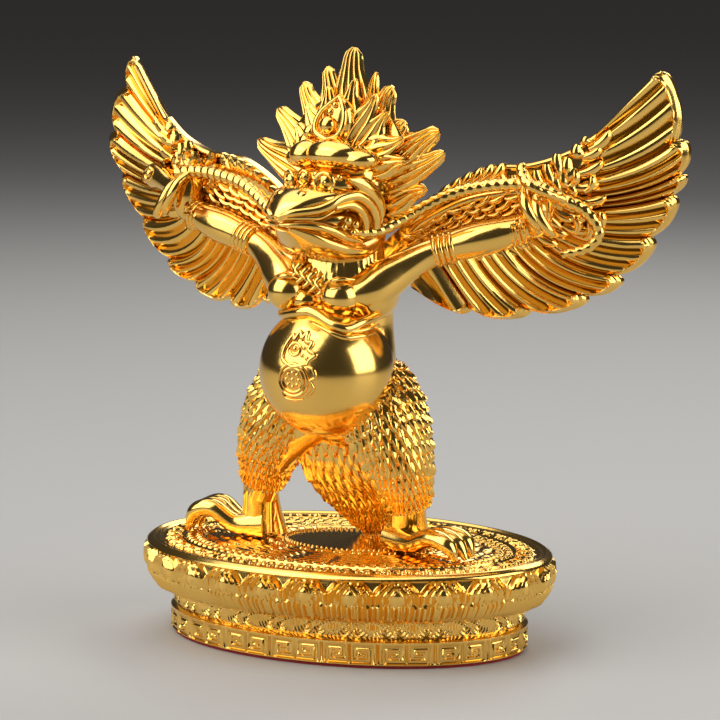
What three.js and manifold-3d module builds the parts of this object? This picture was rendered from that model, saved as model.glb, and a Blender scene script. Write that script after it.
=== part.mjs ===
// Garuda figure on an oval lotus plinth with a felt underside.
// Millimetres, +Z up, front towards -Y, +X to the figure's left.
// The origin is the middle of the underside.

import * as THREE from 'three';
import { mergeVertices } from 'three/addons/utils/BufferGeometryUtils.js';
import Module from 'manifold-3d';

const wasm = await Module();
wasm.setup();

// Driving dimensions
const FIGURE_HEIGHT = 117;
const FELT_THICKNESS = 0.8;
const FELT_INSET = 0.6;
const PLINTH_HEIGHT = 22.2;
const PLINTH_HALF_LENGTH = 51.6;
const PLINTH_HALF_DEPTH = 36;
const CONTACT_GAP = 0.05;

// Plinth profile, as heights above its underside and insets from its widest oval
const KEY_BAND_HEIGHT = 5.4;
const KEY_BAND_INSET = 6.8;
const LEDGE_HEIGHT = 0.7;
const FRIEZE_INSET = 7.6;
const FRIEZE_HEIGHT = 4.6;
const SHOULDER_DROP = 1.4;
const RIM_INSET = 1.3;
const PLINTH_SIDES = 36;
const PETAL_COUNT = 25;
const PETAL_PHASE = 0.7;
const POINTS_PER_PETAL = 3;
const PETAL_GROOVE = 0.9;
const MEDALLION_HALF_LENGTH = 16;
const MEDALLION_HALF_DEPTH = 11;
const MEDALLION_SHIFT = 4.5;
const MEDALLION_SINK = 0.6;

// The figure is drawn at 117 mm tall and follows its height
const DRAWN_HEIGHT = 117;
const SCALE = FIGURE_HEIGHT / DRAWN_HEIGHT;
const HEAD_TURN = THREE.MathUtils.degToRad(17);

const GOLD = { color: 0xe8ac34, roughness: 0.2, metalness: 1 };
const FELT = { color: 0x8c1a1c, roughness: 0.95, metalness: 0 };

const SOLE_LEVEL = FELT_THICKNESS + CONTACT_GAP + PLINTH_HEIGHT + CONTACT_GAP;

// Closed solids

function signedVolume(points, triangles) {
  let volume = 0;
  for (const [a, b, c] of triangles) {
    volume += points[a].dot(points[b].clone().cross(points[c])) / 6;
  }
  return volume;
}

function solidFrom(points, triangles) {
  const outward = signedVolume(points, triangles) > 0;
  const ordered = outward ? triangles : triangles.map(([a, b, c]) => [a, c, b]);
  const vertProperties = new Float32Array(points.flatMap((point) => point.toArray()));
  const triVerts = new Uint32Array(ordered.flat());
  return new wasm.Manifold(new wasm.Mesh({ numProp: 3, vertProperties, triVerts }));
}

function solidFromGeometry(geometry) {
  const bare = geometry.clone();
  bare.deleteAttribute('normal');
  bare.deleteAttribute('uv');
  const merged = mergeVertices(bare, 1e-5);
  const position = merged.getAttribute('position');
  const points = [];
  for (let i = 0; i < position.count; i++) {
    points.push(new THREE.Vector3().fromBufferAttribute(position, i));
  }
  const index = merged.getIndex().array;
  const triangles = [];
  for (let i = 0; i < index.length; i += 3) {
    triangles.push([index[i], index[i + 1], index[i + 2]]);
  }
  return solidFrom(points, triangles);
}

function middleOf(ring) {
  const sum = ring.reduce((total, point) => total.add(point), new THREE.Vector3());
  return sum.divideScalar(ring.length);
}

// A closed skin through rings of equal count, with a fan over each end
function loft(rings) {
  const count = rings[0].length;
  const points = [...rings.flat(), middleOf(rings[0]), middleOf(rings.at(-1))];
  const firstMiddle = points.length - 2;
  const lastMiddle = points.length - 1;
  const lastRing = (rings.length - 1) * count;
  const triangles = [];
  for (let i = 0; i < count; i++) {
    const next = (i + 1) % count;
    triangles.push([firstMiddle, i, next], [lastMiddle, lastRing + next, lastRing + i]);
    for (let row = 0; row < rings.length - 1; row++) {
      const low = row * count;
      const high = low + count;
      triangles.push([low + i, high + i, high + next], [low + i, high + next, low + next]);
    }
  }
  return solidFrom(points, triangles);
}

// A closed slab between a front and a back grid of points, rows by columns
function slab(front, back) {
  const rows = front.length;
  const columns = front[0].length;
  const points = [...front.flat(), ...back.flat()];
  const frontAt = (row, column) => row * columns + column;
  const backAt = (row, column) => (rows + row) * columns + column;
  const triangles = [];
  const quad = (a, b, c, d) => triangles.push([a, b, c], [a, c, d]);
  for (let row = 0; row < rows - 1; row++) {
    for (let i = 0; i < columns - 1; i++) {
      quad(frontAt(row, i), frontAt(row + 1, i), frontAt(row + 1, i + 1), frontAt(row, i + 1));
      quad(backAt(row, i), backAt(row, i + 1), backAt(row + 1, i + 1), backAt(row + 1, i));
    }
    quad(frontAt(row, 0), backAt(row, 0), backAt(row + 1, 0), frontAt(row + 1, 0));
    const last = columns - 1;
    quad(frontAt(row, last), frontAt(row + 1, last), backAt(row + 1, last), backAt(row, last));
  }
  for (let i = 0; i < columns - 1; i++) {
    const end = rows - 1;
    quad(frontAt(0, i), frontAt(0, i + 1), backAt(0, i + 1), backAt(0, i));
    quad(frontAt(end, i), backAt(end, i), backAt(end, i + 1), frontAt(end, i + 1));
  }
  return solidFrom(points, triangles);
}

function join(solids) {
  return solids.reduce((whole, solid) => whole.add(solid));
}

function geometryFrom(solid) {
  const mesh = solid.getMesh();
  const geometry = new THREE.BufferGeometry();
  geometry.setAttribute('position', new THREE.BufferAttribute(mesh.vertProperties, 3));
  geometry.setIndex(new THREE.BufferAttribute(mesh.triVerts, 1));
  return geometry;
}

// Figure coordinates: height counts from the soles, lengths follow SCALE

function at(x, y, z) {
  return new THREE.Vector3(x, y, z).multiplyScalar(SCALE);
}

// Head coordinates: across to the head's left, ahead along the beak, height from the soles
function onHead(across, ahead, height) {
  const cosine = Math.cos(HEAD_TURN);
  const sine = Math.sin(HEAD_TURN);
  return at(3.5 + across * cosine - ahead * sine, -6 - across * sine - ahead * cosine, height);
}

// A value that runs smoothly through evenly spaced stations
function along(stations, t) {
  const place = t * (stations.length - 1);
  const low = Math.min(Math.floor(place), stations.length - 2);
  const blend = place - low;
  const eased = blend * blend * (3 - 2 * blend);
  return stations[low] * (1 - eased) + stations[low + 1] * eased;
}

function ovalSection(halfWidth, halfHeight, sides) {
  const section = [];
  for (let i = 0; i < sides; i++) {
    const angle = (2 * Math.PI * (i + 0.5)) / sides;
    section.push([halfWidth * Math.cos(angle), halfHeight * Math.sin(angle)]);
  }
  return section;
}

// A section carried along a smooth path, its width kept towards one side
function sweep(path, steps, side, sectionAt) {
  const curve = new THREE.CatmullRomCurve3(path, false, 'centripetal');
  const rings = [];
  for (let i = 0; i <= steps; i++) {
    const t = i / steps;
    const centre = curve.getPoint(t);
    const tangent = curve.getTangent(t);
    const across = side.clone().addScaledVector(tangent, -side.dot(tangent)).normalize();
    const over = new THREE.Vector3().crossVectors(across, tangent);
    const ring = sectionAt(t).map(([wide, high]) =>
      centre.clone().addScaledVector(across, wide * SCALE).addScaledVector(over, high * SCALE));
    rings.push(ring);
  }
  return loft(rings);
}

const ACROSS = new THREE.Vector3(1, 0, 0);
const AHEAD = new THREE.Vector3(0, -1, 0);
const HEAD_ACROSS = new THREE.Vector3(Math.cos(HEAD_TURN), -Math.sin(HEAD_TURN), 0);

function limb(path, widths, heights, side, sides, steps) {
  return sweep(path, steps, side, (t) => ovalSection(along(widths, t), along(heights, t), sides));
}

function ball(centre, radii, around, turn = 0) {
  const geometry = new THREE.SphereGeometry(1, around, Math.ceil(around / 2));
  geometry.scale(radii[0] * SCALE, radii[1] * SCALE, radii[2] * SCALE);
  geometry.rotateZ(turn);
  geometry.translate(centre.x, centre.y, centre.z);
  return solidFromGeometry(geometry);
}

// Wings: every feather lies on one swept-back surface

const WING_FLAT = 10;
const WING_REACH = 60;
const WING_SET_BACK = 5;
const WING_SWEEP = 19;

function wingDepth(x) {
  const outer = Math.max(0, x - WING_FLAT) / WING_REACH;
  return WING_SET_BACK + WING_SWEEP * outer ** 1.6;
}

function onWing(side, x, z, lift) {
  return at(side * x, wingDepth(x) - lift, z);
}

const LEADING_EDGE = [[4, 68], [14, 77], [23, 85], [32, 89.6], [41, 90.4], [50, 93.6], [56, 98]];
const FEATHER_ROOTS = [[6, 65], [16.5, 69], [24.5, 71], [31, 73], [38, 74.5], [45.5, 76], [49, 79.5], [50.5, 85], [55, 96.5]];
const FEATHER_MIDDLES = [[12, 62.4], [21.6, 61.8], [29.6, 61.8], [37.8, 62.8], [46.4, 65], [56.4, 70.8], [62, 79.4], [64.4, 88], [62.4, 105]];
const LEFT_TIPS = [[16, 60], [26, 54.8], [37, 54], [49, 55.8], [59.6, 60.6], [67.8, 69.8], [73.4, 82], [75.2, 95], [70.3, 113.8]];
const RIGHT_TIPS = [[16, 59.5], [26, 53.6], [37.5, 53], [48.8, 56.5], [58.8, 62.4], [66.6, 70.8], [75, 81.8], [79.6, 94.8], [69.4, 114.4]];
const LEFT_FEATHERS = [0, 0.17, 0.32, 0.464, 0.553, 0.667, 0.77, 0.822, 0.895, 1];
const RIGHT_FEATHERS = [0, 0.13, 0.25, 0.39, 0.51, 0.65, 0.77, 0.875, 0.945, 1];
const NARROW_FEATHER = 0.08;
const FEATHER_RIDGE = 1.5;
const BACK_RIDGE_SHARE = 0.4;
const NOTCH_DEPTH = 0.13;
const WING_THICKNESS = 3;
const TIP_THICKNESS = 1.6;

function outline(points) {
  return new THREE.CatmullRomCurve3(points.map(([x, z]) => new THREE.Vector3(x, 0, z)), false, 'centripetal');
}

const leadingEdge = outline(LEADING_EDGE);
const leftTips = outline(LEFT_TIPS);
const rightTips = outline(RIGHT_TIPS);
const featherRoots = outline(FEATHER_ROOTS);
const featherMiddles = outline(FEATHER_MIDDLES);

// The place on a wing at a share along it, and a share down its feathers from the leading edge
function quillPoint(side, t, share) {
  const root = featherRoots.getPoint(t);
  if (share < 0) {
    return root.lerp(leadingEdge.getPoint(t), -share);
  }
  return root.multiplyScalar((1 - share) * (1 - 2 * share))
    .addScaledVector(featherMiddles.getPoint(t), 4 * share * (1 - share))
    .addScaledVector((side > 0 ? leftTips : rightTips).getPoint(t), share * (2 * share - 1));
}

// Columns along a wing: a notch between feathers, then two ridges to a feather, or one if it is narrow
function wingColumns(feathers) {
  const columns = feathers.slice(1).flatMap((end, i) => {
    const start = feathers[i];
    const count = end - start > NARROW_FEATHER ? 4 : 2;
    return Array.from({ length: count }, (_, k) => ({
      t: THREE.MathUtils.lerp(start, end, k / count),
      onRidge: k % 2 === 1,
      atNotch: k === 0 && i > 0,
    }));
  });
  return [...columns, { t: 1, onRidge: false, atNotch: false }];
}

// A wing is one cast slab of long feathers, cut in between their round tips
function wing(side) {
  const shares = [-1, -0.4, 0.08, 0.45, 0.82, 1];
  const lifts = [0.8, 1, 1, 1, 0.8, 0.3];
  const armSwells = [0, 2.4, 1.6, 0, 0, 0];
  const columns = wingColumns(side > 0 ? LEFT_FEATHERS : RIGHT_FEATHERS);
  const front = [];
  const back = [];
  shares.forEach((share, row) => {
    const frontRow = [];
    const backRow = [];
    columns.forEach(({ t, onRidge, atNotch }) => {
      const spot = quillPoint(side, t, atNotch && share === 1 ? 1 - NOTCH_DEPTH : share);
      const ridge = onRidge && share > 0 ? FEATHER_RIDGE : 0;
      const thickness = (WING_THICKNESS * (1 - t) + TIP_THICKNESS * t) * lifts[row];
      const swell = armSwells[row] * (1 - t);
      frontRow.push(onWing(side, spot.x, spot.z, lifts[row] * (0.4 + ridge) + swell));
      backRow.push(onWing(side, spot.x, spot.z, -thickness - ridge * BACK_RIDGE_SHARE));
    });
    front.push(frontRow);
    back.push(backRow);
  });
  return slab(front, back);
}

// Arms: reach out along the wings, with paired bangles at elbow and wrist

const SHOULDER = [6.6, -11.4, 60.6];
const UPPER_ARM = [13.4, -7.2, 64.4];
const ELBOW = [24.5, -1, 71];
const WRIST = [41, 4.6, 75.5];
const FIST = [45.5, 6, 81];
const FIST_HEIGHT = 11;
const BANGLE_PITCH = 0.95;

// One arm, its radius stepping out over three rings at each pair of bangles
function arm(side) {
  const shoulder = new THREE.Vector3(...SHOULDER);
  const elbow = new THREE.Vector3(...ELBOW);
  const wrist = new THREE.Vector3(...WRIST);
  const bend = new THREE.Vector3(...UPPER_ARM);
  const stations = [
    [shoulder, 4.2],
    [bend, 4.6],
    ...bangles(elbow, wrist, 3.1, 4.1),
    [elbow.clone().lerp(wrist, 0.5), 4],
    ...bangles(wrist, wrist.clone().lerp(elbow, -1), 2.8, 3.7),
  ];
  const curve = stations.map(([point]) => at(side * point.x, point.y, point.z));
  return loftAlong(curve, stations.map(([, radius]) => radius), 7);
}

// Ring centres and radii of one set of bangles, in a row along the arm
function bangles(middle, towards, low, high) {
  const direction = towards.clone().sub(middle).normalize();
  const rings = [];
  for (let i = -3; i <= 3; i++) {
    const radius = i % 2 === 0 ? high : low;
    rings.push([middle.clone().addScaledVector(direction, i * BANGLE_PITCH), radius]);
  }
  return rings;
}

// Round rings set square to the run of the given centres
function loftAlong(centres, radii, sides) {
  const rings = centres.map((centre, i) => {
    const before = centres[Math.max(0, i - 1)];
    const after = centres[Math.min(centres.length - 1, i + 1)];
    const tangent = after.clone().sub(before).normalize();
    const across = AHEAD.clone().addScaledVector(tangent, -AHEAD.dot(tangent)).normalize();
    const over = new THREE.Vector3().crossVectors(across, tangent);
    return ovalSection(radii[i], radii[i], sides).map(([wide, high]) =>
      centre.clone().addScaledVector(across, wide * SCALE).addScaledVector(over, high * SCALE));
  });
  return loft(rings);
}

// A fist closed round the snake, its four fingers stacked as bulges, with the thumb in front
function hand(side) {
  const fingers = 4;
  const centres = [];
  const radii = [];
  for (let i = 0; i <= fingers * 2; i++) {
    const share = i / (fingers * 2);
    centres.push(at(side * (FIST[0] - 1 + share), FIST[1] - 1, FIST[2] + FIST_HEIGHT * (share - 0.5)));
    radii.push(i % 2 === 1 ? 4 : 3);
  }
  const thumb = [at(side * 43, 1.5, 76.5), at(side * 43.6, -1, 80), at(side * 44, 0.4, 84)];
  return join([loftAlong(centres, radii, 6), limb(thumb, [1.6, 1.5, 0.9], [1.6, 1.5, 0.9], ACROSS, 5, 2)]);
}

// Snake: held in the beak and drawn out to both hands

const SNAKE_ROUTE = [[6, -19, 77], [9.8, -13, 75.4], [13.5, -9, 76], [18, -5, 79], [26.3, -0.5, 83.6],
  [34.2, 2, 85.6], [41.9, 4, 86.2], [47, 4.5, 85.5]];
const SNAKE_RADIUS = 1.45;

function snake(side) {
  const path = SNAKE_ROUTE.map(([x, y, z]) => at(side * x, y, z));
  return limb(path, [SNAKE_RADIUS, SNAKE_RADIUS], [SNAKE_RADIUS, SNAKE_RADIUS], AHEAD, 5, 8);
}

// The snake's free end loops over the outer wing on the left hand, its head rises on the right
function snakeLoop() {
  const path = [at(47, 4.5, 85.5), at(51.5, 5, 83.2), at(56.5, 6.5, 80.8), at(59.8, 8, 76),
    at(57.2, 7.5, 72), at(51.5, 6, 70.4)];
  return limb(path, [1.5, 1.6, 1.6, 1.3], [1.5, 1.6, 1.6, 1.3], AHEAD, 5, 7);
}

function snakeHead() {
  const path = [at(-46, 4, 82.5), at(-49, 5, 86.5), at(-53.5, 7, 91), at(-57, 9, 93.4)];
  return limb(path, [1.6, 2.6, 3, 0.8], [1.6, 1.9, 1.9, 0.7], AHEAD, 6, 4);
}

// Body

function torso() {
  const spine = [at(-4, 0, 18.5), at(0, -2, 30), at(0.4, -5, 43), at(0.3, -5, 54), at(0.3, -5, 62), at(1.5, -5, 70),
    at(3, -4, 80)];
  return limb(spine, [6, 12, 13.8, 13.2, 14.2, 9.8, 8.6], [5, 9.5, 10, 9.6, 10, 8.8, 8.6], ACROSS, 12, 6);
}

function belly() {
  const jewel = [at(-1, -26, 46), at(-1, -25.6, 49.5), at(-1, -23.6, 52.6)];
  const medal = [at(-1.1, -24, 42.6), at(-1.1, -28, 42.6)];
  return join([
    ball(at(0.4, -12, 42.9), [15.8, 15.5, 15.6], 14),
    limb(medal, [3.7, 3.3], [3.7, 3.3], ACROSS, 10, 1),
    limb(jewel, [3.6, 3, 0.6], [1.4, 1.4, 0.5], ACROSS, 6, 3),
  ]);
}

function chest() {
  const fold = [at(-14, -5.5, 55.6), at(-9, -15, 55.6), at(-1, -18.8, 57), at(8, -20, 54), at(13.8, -8, 56.4)];
  const curls = [-1, 0, 1].map((place) => ball(at(-3 + place * 2.2, -14.6, 64.6 - place * 0.9), [1.4, 2, 1.6], 6));
  return join([
    ball(at(-7.4, -13.2, 60.9), [4.6, 4.8, 4.4], 8),
    ball(at(5.6, -13.2, 60.2), [4.6, 4.8, 4.4], 8),
    ball(at(9.6, -7, 60.8), [6.2, 7.6, 6.8], 8),
    ball(at(-9.6, -7, 61), [6, 7.4, 6.4], 8),
    ...curls,
    limb(fold, [1, 1.2, 1], [1, 1.2, 1], AHEAD, 5, 6),
  ]);
}

// A limb dressed in rows of pointed feathers, each row flaring over the next
function featheredLimb(path, widths, heights, rows, teeth) {
  const stepsPerRow = 2;
  const sides = teeth * 2;
  return sweep(path, rows * stepsPerRow, ACROSS, (t) => {
    const row = Math.round(t * rows * stepsPerRow);
    const flare = row % stepsPerRow === 0 ? 0.92 : 1.08;
    const section = ovalSection(along(widths, t) * flare, along(heights, t) * flare, sides);
    return section.map(([wide, high], i) => {
      const tooth = (i + Math.floor(row / stepsPerRow)) % 2 === 0 ? 1.05 : 0.95;
      return [wide * tooth, high * tooth];
    });
  });
}

const RIGHT_THIGH = [[-8.5, -3, 39], [-13.5, -4, 31], [-18.4, -3.4, 22], [-21.2, -2, 12.5]];
const LEFT_THIGH = [[5.8, -3, 39], [11.4, -4, 31], [15.4, -3.4, 20], [17, -1.6, 9.5]];

function thigh(route) {
  const path = route.map(([x, y, z]) => at(x, y, z));
  return featheredLimb(path, [9.5, 9.6, 7, 4.3], [11, 11, 8.5, 4.6], 5, 5);
}

function shin(top, ankle, spurTop, spurFoot) {
  return join([
    limb([at(...top), at(...ankle)], [3.2, 2.9], [3, 2.7], AHEAD, 7, 1),
    limb([at(...spurTop), at(...spurFoot)], [1.5, 1.3], [1.5, 1.3], AHEAD, 5, 1),
  ]);
}

// A foot: three toes arched side by side, their clawed tips turned down to the ground
function foot(ankle, tip, arch, halfWidth) {
  const start = new THREE.Vector3(...ankle);
  const end = new THREE.Vector3(...tip);
  const place = (share, height) => at(
    THREE.MathUtils.lerp(start.x, end.x, share), THREE.MathUtils.lerp(start.y, end.y, share), height);
  const path = [place(-0.1, 2.6), place(0.3, 2.6), place(0.6, arch), place(0.86, arch * 0.8), place(1, 0.2)];
  const sideways = new THREE.Vector3(start.y - end.y, end.x - start.x, 0).normalize();
  const widths = [0.75, 0.85, 1, 1, 0.8];
  const heights = [3.2, 2.2, 2, 1.8, 0.6];
  return sweep(path, 6, sideways, (t) => {
    const wide = halfWidth * along(widths, t);
    const high = along(heights, t);
    const tops = [-1, -0.67, -0.33, 0, 0.33, 0.67, 1].map((share, i) => [share * wide, i % 2 === 1 ? high : 0.3 * high]);
    return [...tops, [0.55 * wide, -high], [-0.55 * wide, -high]];
  });
}

function legs() {
  return join([
    thigh(RIGHT_THIGH),
    thigh(LEFT_THIGH),
    shin([-22.4, -2, 15], [-22.6, -1, 1.5], [-20, -1, 14], [-19.4, 3, 0.6]),
    shin([15.6, -2.5, 12], [14, -2, 1.5], [18, 0.5, 12], [19.6, 5.2, 0.6]),
    foot([-22.6, -1.4, 0], [-40.5, -2, 0], 6.2, 6),
    foot([14.6, -3, 0], [34.2, -9, 0], 4.8, 6),
  ]);
}

// Tail: layered feathers that taper to a point on the ground behind the legs
function tail() {
  const path = [at(0, 3, 42), at(0, 8, 28), at(0, 11, 15), at(0, 13.6, 5), at(0, 14.4, -1)];
  return featheredLimb(path, [12, 13.4, 9.5, 5, 1.8], [4.5, 4.2, 3.4, 2.6, 1.4], 4, 5);
}

// Head

function skull() {
  return join([
    ball(onHead(0, 0.5, 86), [11, 11, 10.6], 10, -HEAD_TURN),
    ball(onHead(0, 8.6, 86.8), [9, 6.4, 3.6], 6, -HEAD_TURN),
    ball(onHead(-4.2, 8.6, 92.9), [4.8, 5.2, 3.6], 8, -HEAD_TURN),
    ball(onHead(3.8, 8.8, 93.1), [5.6, 5.6, 3.6], 8, -HEAD_TURN),
    ball(onHead(9, 6.4, 91.9), [4.4, 4.4, 2.4], 6, -HEAD_TURN),
    ball(onHead(-8.9, 6.6, 91.8), [3.8, 4, 2.4], 6, -HEAD_TURN),
  ]);
}

function beak() {
  const upper = [onHead(0, 3, 84.6), onHead(0, 11, 84), onHead(0, 16, 83.7), onHead(0, 20, 82.7), onHead(0, 23, 81.3),
    onHead(0, 25.2, 79.8)];
  const lower = [onHead(0, -1, 72), onHead(0, 4, 71.2), onHead(0, 10, 72), onHead(0, 15, 73.7), onHead(0, 19, 75.8),
    onHead(0, 22.4, 77.3)];
  return join([
    limb(upper, [10.4, 9.6, 8.4, 6.3, 3.9, 1.1], [4.6, 3.4, 2.9, 2.5, 1.7, 0.7], HEAD_ACROSS, 7, 5),
    limb(lower, [8, 9, 9, 8, 5.8, 2.6], [3.6, 3.6, 3.3, 3, 2, 0.9], HEAD_ACROSS, 7, 5),
    ball(onHead(0, 8, 78.4), [8.6, 9, 4.6], 6, -HEAD_TURN),
  ]);
}

// Ridges that curl round the corner of the mouth and down the cheek
function cheek(side) {
  const lip = [onHead(side * 2, 24.6, 80.4), onHead(side * 7.2, 19.4, 81.5), onHead(side * 9.5, 13.5, 83.9),
    onHead(side * 10.6, 6.4, 83.2), onHead(side * 10.4, 2.6, 77)];
  const blade = [onHead(side * 9.6, 11.2, 88), onHead(side * 10.7, 5.6, 85.8), onHead(side * 10, 0.9, 77.4)];
  return join([
    limb(lip, [0.8, 1.2, 1.4, 1.6, 1], [0.8, 1.2, 1.4, 1.6, 1], HEAD_ACROSS, 4, 5),
    limb(blade, [1, 1.2, 0.8], [0.6, 2, 0.6], HEAD_ACROSS, 5, 3),
  ]);
}

function eyes() {
  return join([
    ball(onHead(5, 13.4, 87.4), [2, 2.2, 2], 8),
    ball(onHead(-5.4, 13.2, 87.2), [2, 2.2, 2], 8),
    ball(onHead(-0.3, 14.6, 88.2), [1.7, 1.6, 1.6], 6),
  ]);
}

// Crown: two fans of flames, each flame an angle from upright and a reach from the fan's middle
const FLAME_HALF_WIDTH = 12;
const FLAME_RIDGE = 2;
const FLAME_CUT = 0.78;
const BLUNT_TIP = 2.6;
const CROWN_MIDDLE = [-1.5, 86];
const CROWN_BACK = [[-89, 22.6], [-74.5, 31.2], [-57, 28.8], [-33.6, 27.4], [-17.6, 27.6], [1.3, 31.4], [15, 26], [28.8, 25.4],
  [64.2, 28.2], [73, 27.6], [92, 22.4]];
const CROWN_FRONT = [[-50, 19.6], [-30, 21], [-12, 22.6], [8, 24.2], [25, 23], [40, 21.6], [57, 20.6]];

// One fan as a slab: ridged down each flame, cut in between the flames
function crownFan(flames, ahead, depth, bluntness) {
  const rows = [0.2, 1];
  const front = rows.map(() => []);
  const back = rows.map(() => []);
  const column = (degrees, reach, lift) => {
    const angle = THREE.MathUtils.degToRad(degrees);
    rows.forEach((share, row) => {
      const distance = reach * share;
      const across = CROWN_MIDDLE[0] + distance * Math.sin(angle);
      const height = CROWN_MIDDLE[1] + distance * Math.cos(angle);
      const lean = ahead - 3 * share;
      const thickness = depth * (1 - 0.6 * share) + lift * BACK_RIDGE_SHARE;
      front[row].push(onHead(across, lean + lift * (1 - 0.5 * share), height));
      back[row].push(onHead(across, lean - thickness, height));
    });
  };
  flames.forEach(([degrees, reach], i) => {
    const next = flames[i + 1];
    const halfWidth = FLAME_HALF_WIDTH;
    if (i === 0) {
      column(degrees - halfWidth, reach * 0.62, 0.2);
    }
    if (bluntness > 0) {
      column(degrees - bluntness, reach, FLAME_RIDGE);
    }
    column(degrees + bluntness, reach, FLAME_RIDGE);
    if (next) {
      column((degrees + next[0]) / 2, Math.min(reach, next[1]) * FLAME_CUT, 0.2);
    } else {
      column(degrees + halfWidth, reach * 0.62, 0.2);
    }
  });
  return slab(front, back);
}

function crown() {
  const frame = [onHead(-0.4, 5.6, 96.4), onHead(-4.4, 5.6, 99.8), onHead(1.2, 5.2, 106.2), onHead(4, 5.6, 99.6),
    onHead(-0.4, 5.6, 96.4)];
  return join([
    crownFan(CROWN_BACK, 0, 3, BLUNT_TIP),
    crownFan(CROWN_FRONT, 5, 4, 0),
    ball(onHead(-0.2, 5.2, 99.6), [2.4, 2.8, 2.4], 8),
    limb(frame, [0.8, 1, 0.6, 1, 0.8], [0.8, 1, 0.6, 1, 0.8], HEAD_ACROSS, 5, 6),
  ]);
}

function head() {
  return join([skull(), beak(), cheek(-1), cheek(1), eyes(), crown()]);
}

// Everything below the soles is cut away, so the feet and the tail's point stand flat
function groundBlock() {
  const depth = 20;
  const block = new THREE.BoxGeometry(4 * PLINTH_HALF_LENGTH, 4 * PLINTH_HALF_DEPTH, depth);
  block.translate(0, 0, -depth / 2);
  return solidFromGeometry(block);
}

function garudaFigure() {
  const body = [torso(), belly(), chest(), legs(), tail(), head()];
  const limbs = [-1, 1].flatMap((side) => [wing(side), arm(side), hand(side), snake(side)]);
  return join([...body, ...limbs, snakeLoop(), snakeHead()]).subtract(groundBlock());
}

// Plinth

function ovalRing(halfLength, halfDepth, z, count, shift = 0) {
  const ring = [];
  for (let i = 0; i < count; i++) {
    const angle = (2 * Math.PI * i) / count;
    ring.push(new THREE.Vector3(halfLength * Math.cos(angle), halfDepth * Math.sin(angle) + shift, z));
  }
  return ring;
}

// Angles that stand at equal steps along the plinth's edge, petal by petal
function petalAngles() {
  const fine = 2000;
  const run = [0];
  for (let i = 1; i <= fine; i++) {
    const angle = (2 * Math.PI * (i - 0.5)) / fine;
    const step = Math.hypot(PLINTH_HALF_LENGTH * Math.sin(angle), PLINTH_HALF_DEPTH * Math.cos(angle));
    run.push(run[i - 1] + step);
  }
  const count = PETAL_COUNT * POINTS_PER_PETAL;
  const angles = [];
  for (let i = 0; i < count; i++) {
    const share = ((i / POINTS_PER_PETAL + PETAL_PHASE) / PETAL_COUNT) % 1;
    const found = run.findIndex((length) => length >= share * run[fine]);
    angles.push((2 * Math.PI * found) / fine);
  }
  return angles;
}

// Band of petals: a bulging ring grooved between the petals, wider open towards their tips
function petalBand(low, high) {
  const angles = petalAngles();
  const levels = [
    { share: 0, inset: 3.6, groove: 0.5 },
    { share: 0.3, inset: 1.4, groove: 1 },
    { share: 0.72, inset: 0, groove: 1 },
    { share: 1, inset: 0.9, groove: 0 },
  ];
  const ring = (z, inset, groove) => angles.map((angle, i) => {
    const dent = inset + (i % POINTS_PER_PETAL === 0 ? PETAL_GROOVE * groove : 0);
    return new THREE.Vector3((PLINTH_HALF_LENGTH - dent) * Math.cos(angle), (PLINTH_HALF_DEPTH - dent) * Math.sin(angle), z);
  });
  const rings = levels.map(({ share, inset, groove }) => ring(low + (high - low) * share, inset, groove));
  return loft([ring(low, KEY_BAND_INSET, 0), ...rings]);
}

function plinthCore(petalLow, petalHigh) {
  const count = PLINTH_SIDES;
  const ring = (inset, z) => ovalRing(PLINTH_HALF_LENGTH - inset, PLINTH_HALF_DEPTH - inset, z, count);
  const frieze = KEY_BAND_HEIGHT + LEDGE_HEIGHT;
  return loft([
    ring(KEY_BAND_INSET, 0),
    ring(KEY_BAND_INSET, KEY_BAND_HEIGHT),
    ring(FRIEZE_INSET, frieze),
    ring(FRIEZE_INSET, petalHigh - 0.5),
    ring(RIM_INSET - 0.4, petalHigh - 0.2),
    ring(RIM_INSET, PLINTH_HEIGHT - 0.2),
    ring(RIM_INSET + 0.3, PLINTH_HEIGHT),
  ]);
}

function medallionCut() {
  const ring = (z) => ovalRing(MEDALLION_HALF_LENGTH, MEDALLION_HALF_DEPTH, z, 24, MEDALLION_SHIFT);
  return loft([ring(PLINTH_HEIGHT - MEDALLION_SINK), ring(PLINTH_HEIGHT + 1)]);
}

function lotusPlinth() {
  const petalLow = KEY_BAND_HEIGHT + LEDGE_HEIGHT + FRIEZE_HEIGHT;
  const petalHigh = PLINTH_HEIGHT - SHOULDER_DROP;
  return plinthCore(petalLow, petalHigh)
    .add(petalBand(petalLow, petalHigh))
    .subtract(medallionCut());
}

// Felt

function feltPad() {
  const inset = KEY_BAND_INSET + FELT_INSET;
  const ring = (z) => ovalRing(PLINTH_HALF_LENGTH - inset, PLINTH_HALF_DEPTH - inset, z, PLINTH_SIDES);
  return loft([ring(0), ring(FELT_THICKNESS)]);
}

function piece(name, solid, finish, level) {
  const mesh = new THREE.Mesh(geometryFrom(solid), new THREE.MeshStandardMaterial(finish));
  mesh.name = name;
  mesh.position.z = level;
  return mesh;
}

const garuda = new THREE.Group();
garuda.add(piece('felt_pad', feltPad(), FELT, 0));
garuda.add(piece('lotus_plinth', lotusPlinth(), GOLD, FELT_THICKNESS + CONTACT_GAP));
garuda.add(piece('garuda_figure', garudaFigure(), GOLD, SOLE_LEVEL));

export default garuda;
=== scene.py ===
# Looks of a gilt garuda figure on an oval lotus plinth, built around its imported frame.
# Lengths in the shape functions are millimetres in figure coordinates: +X to the figure's left,
# -Y to the front, heights counted from the soles. Meshes are placed in metres.

import math

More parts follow.
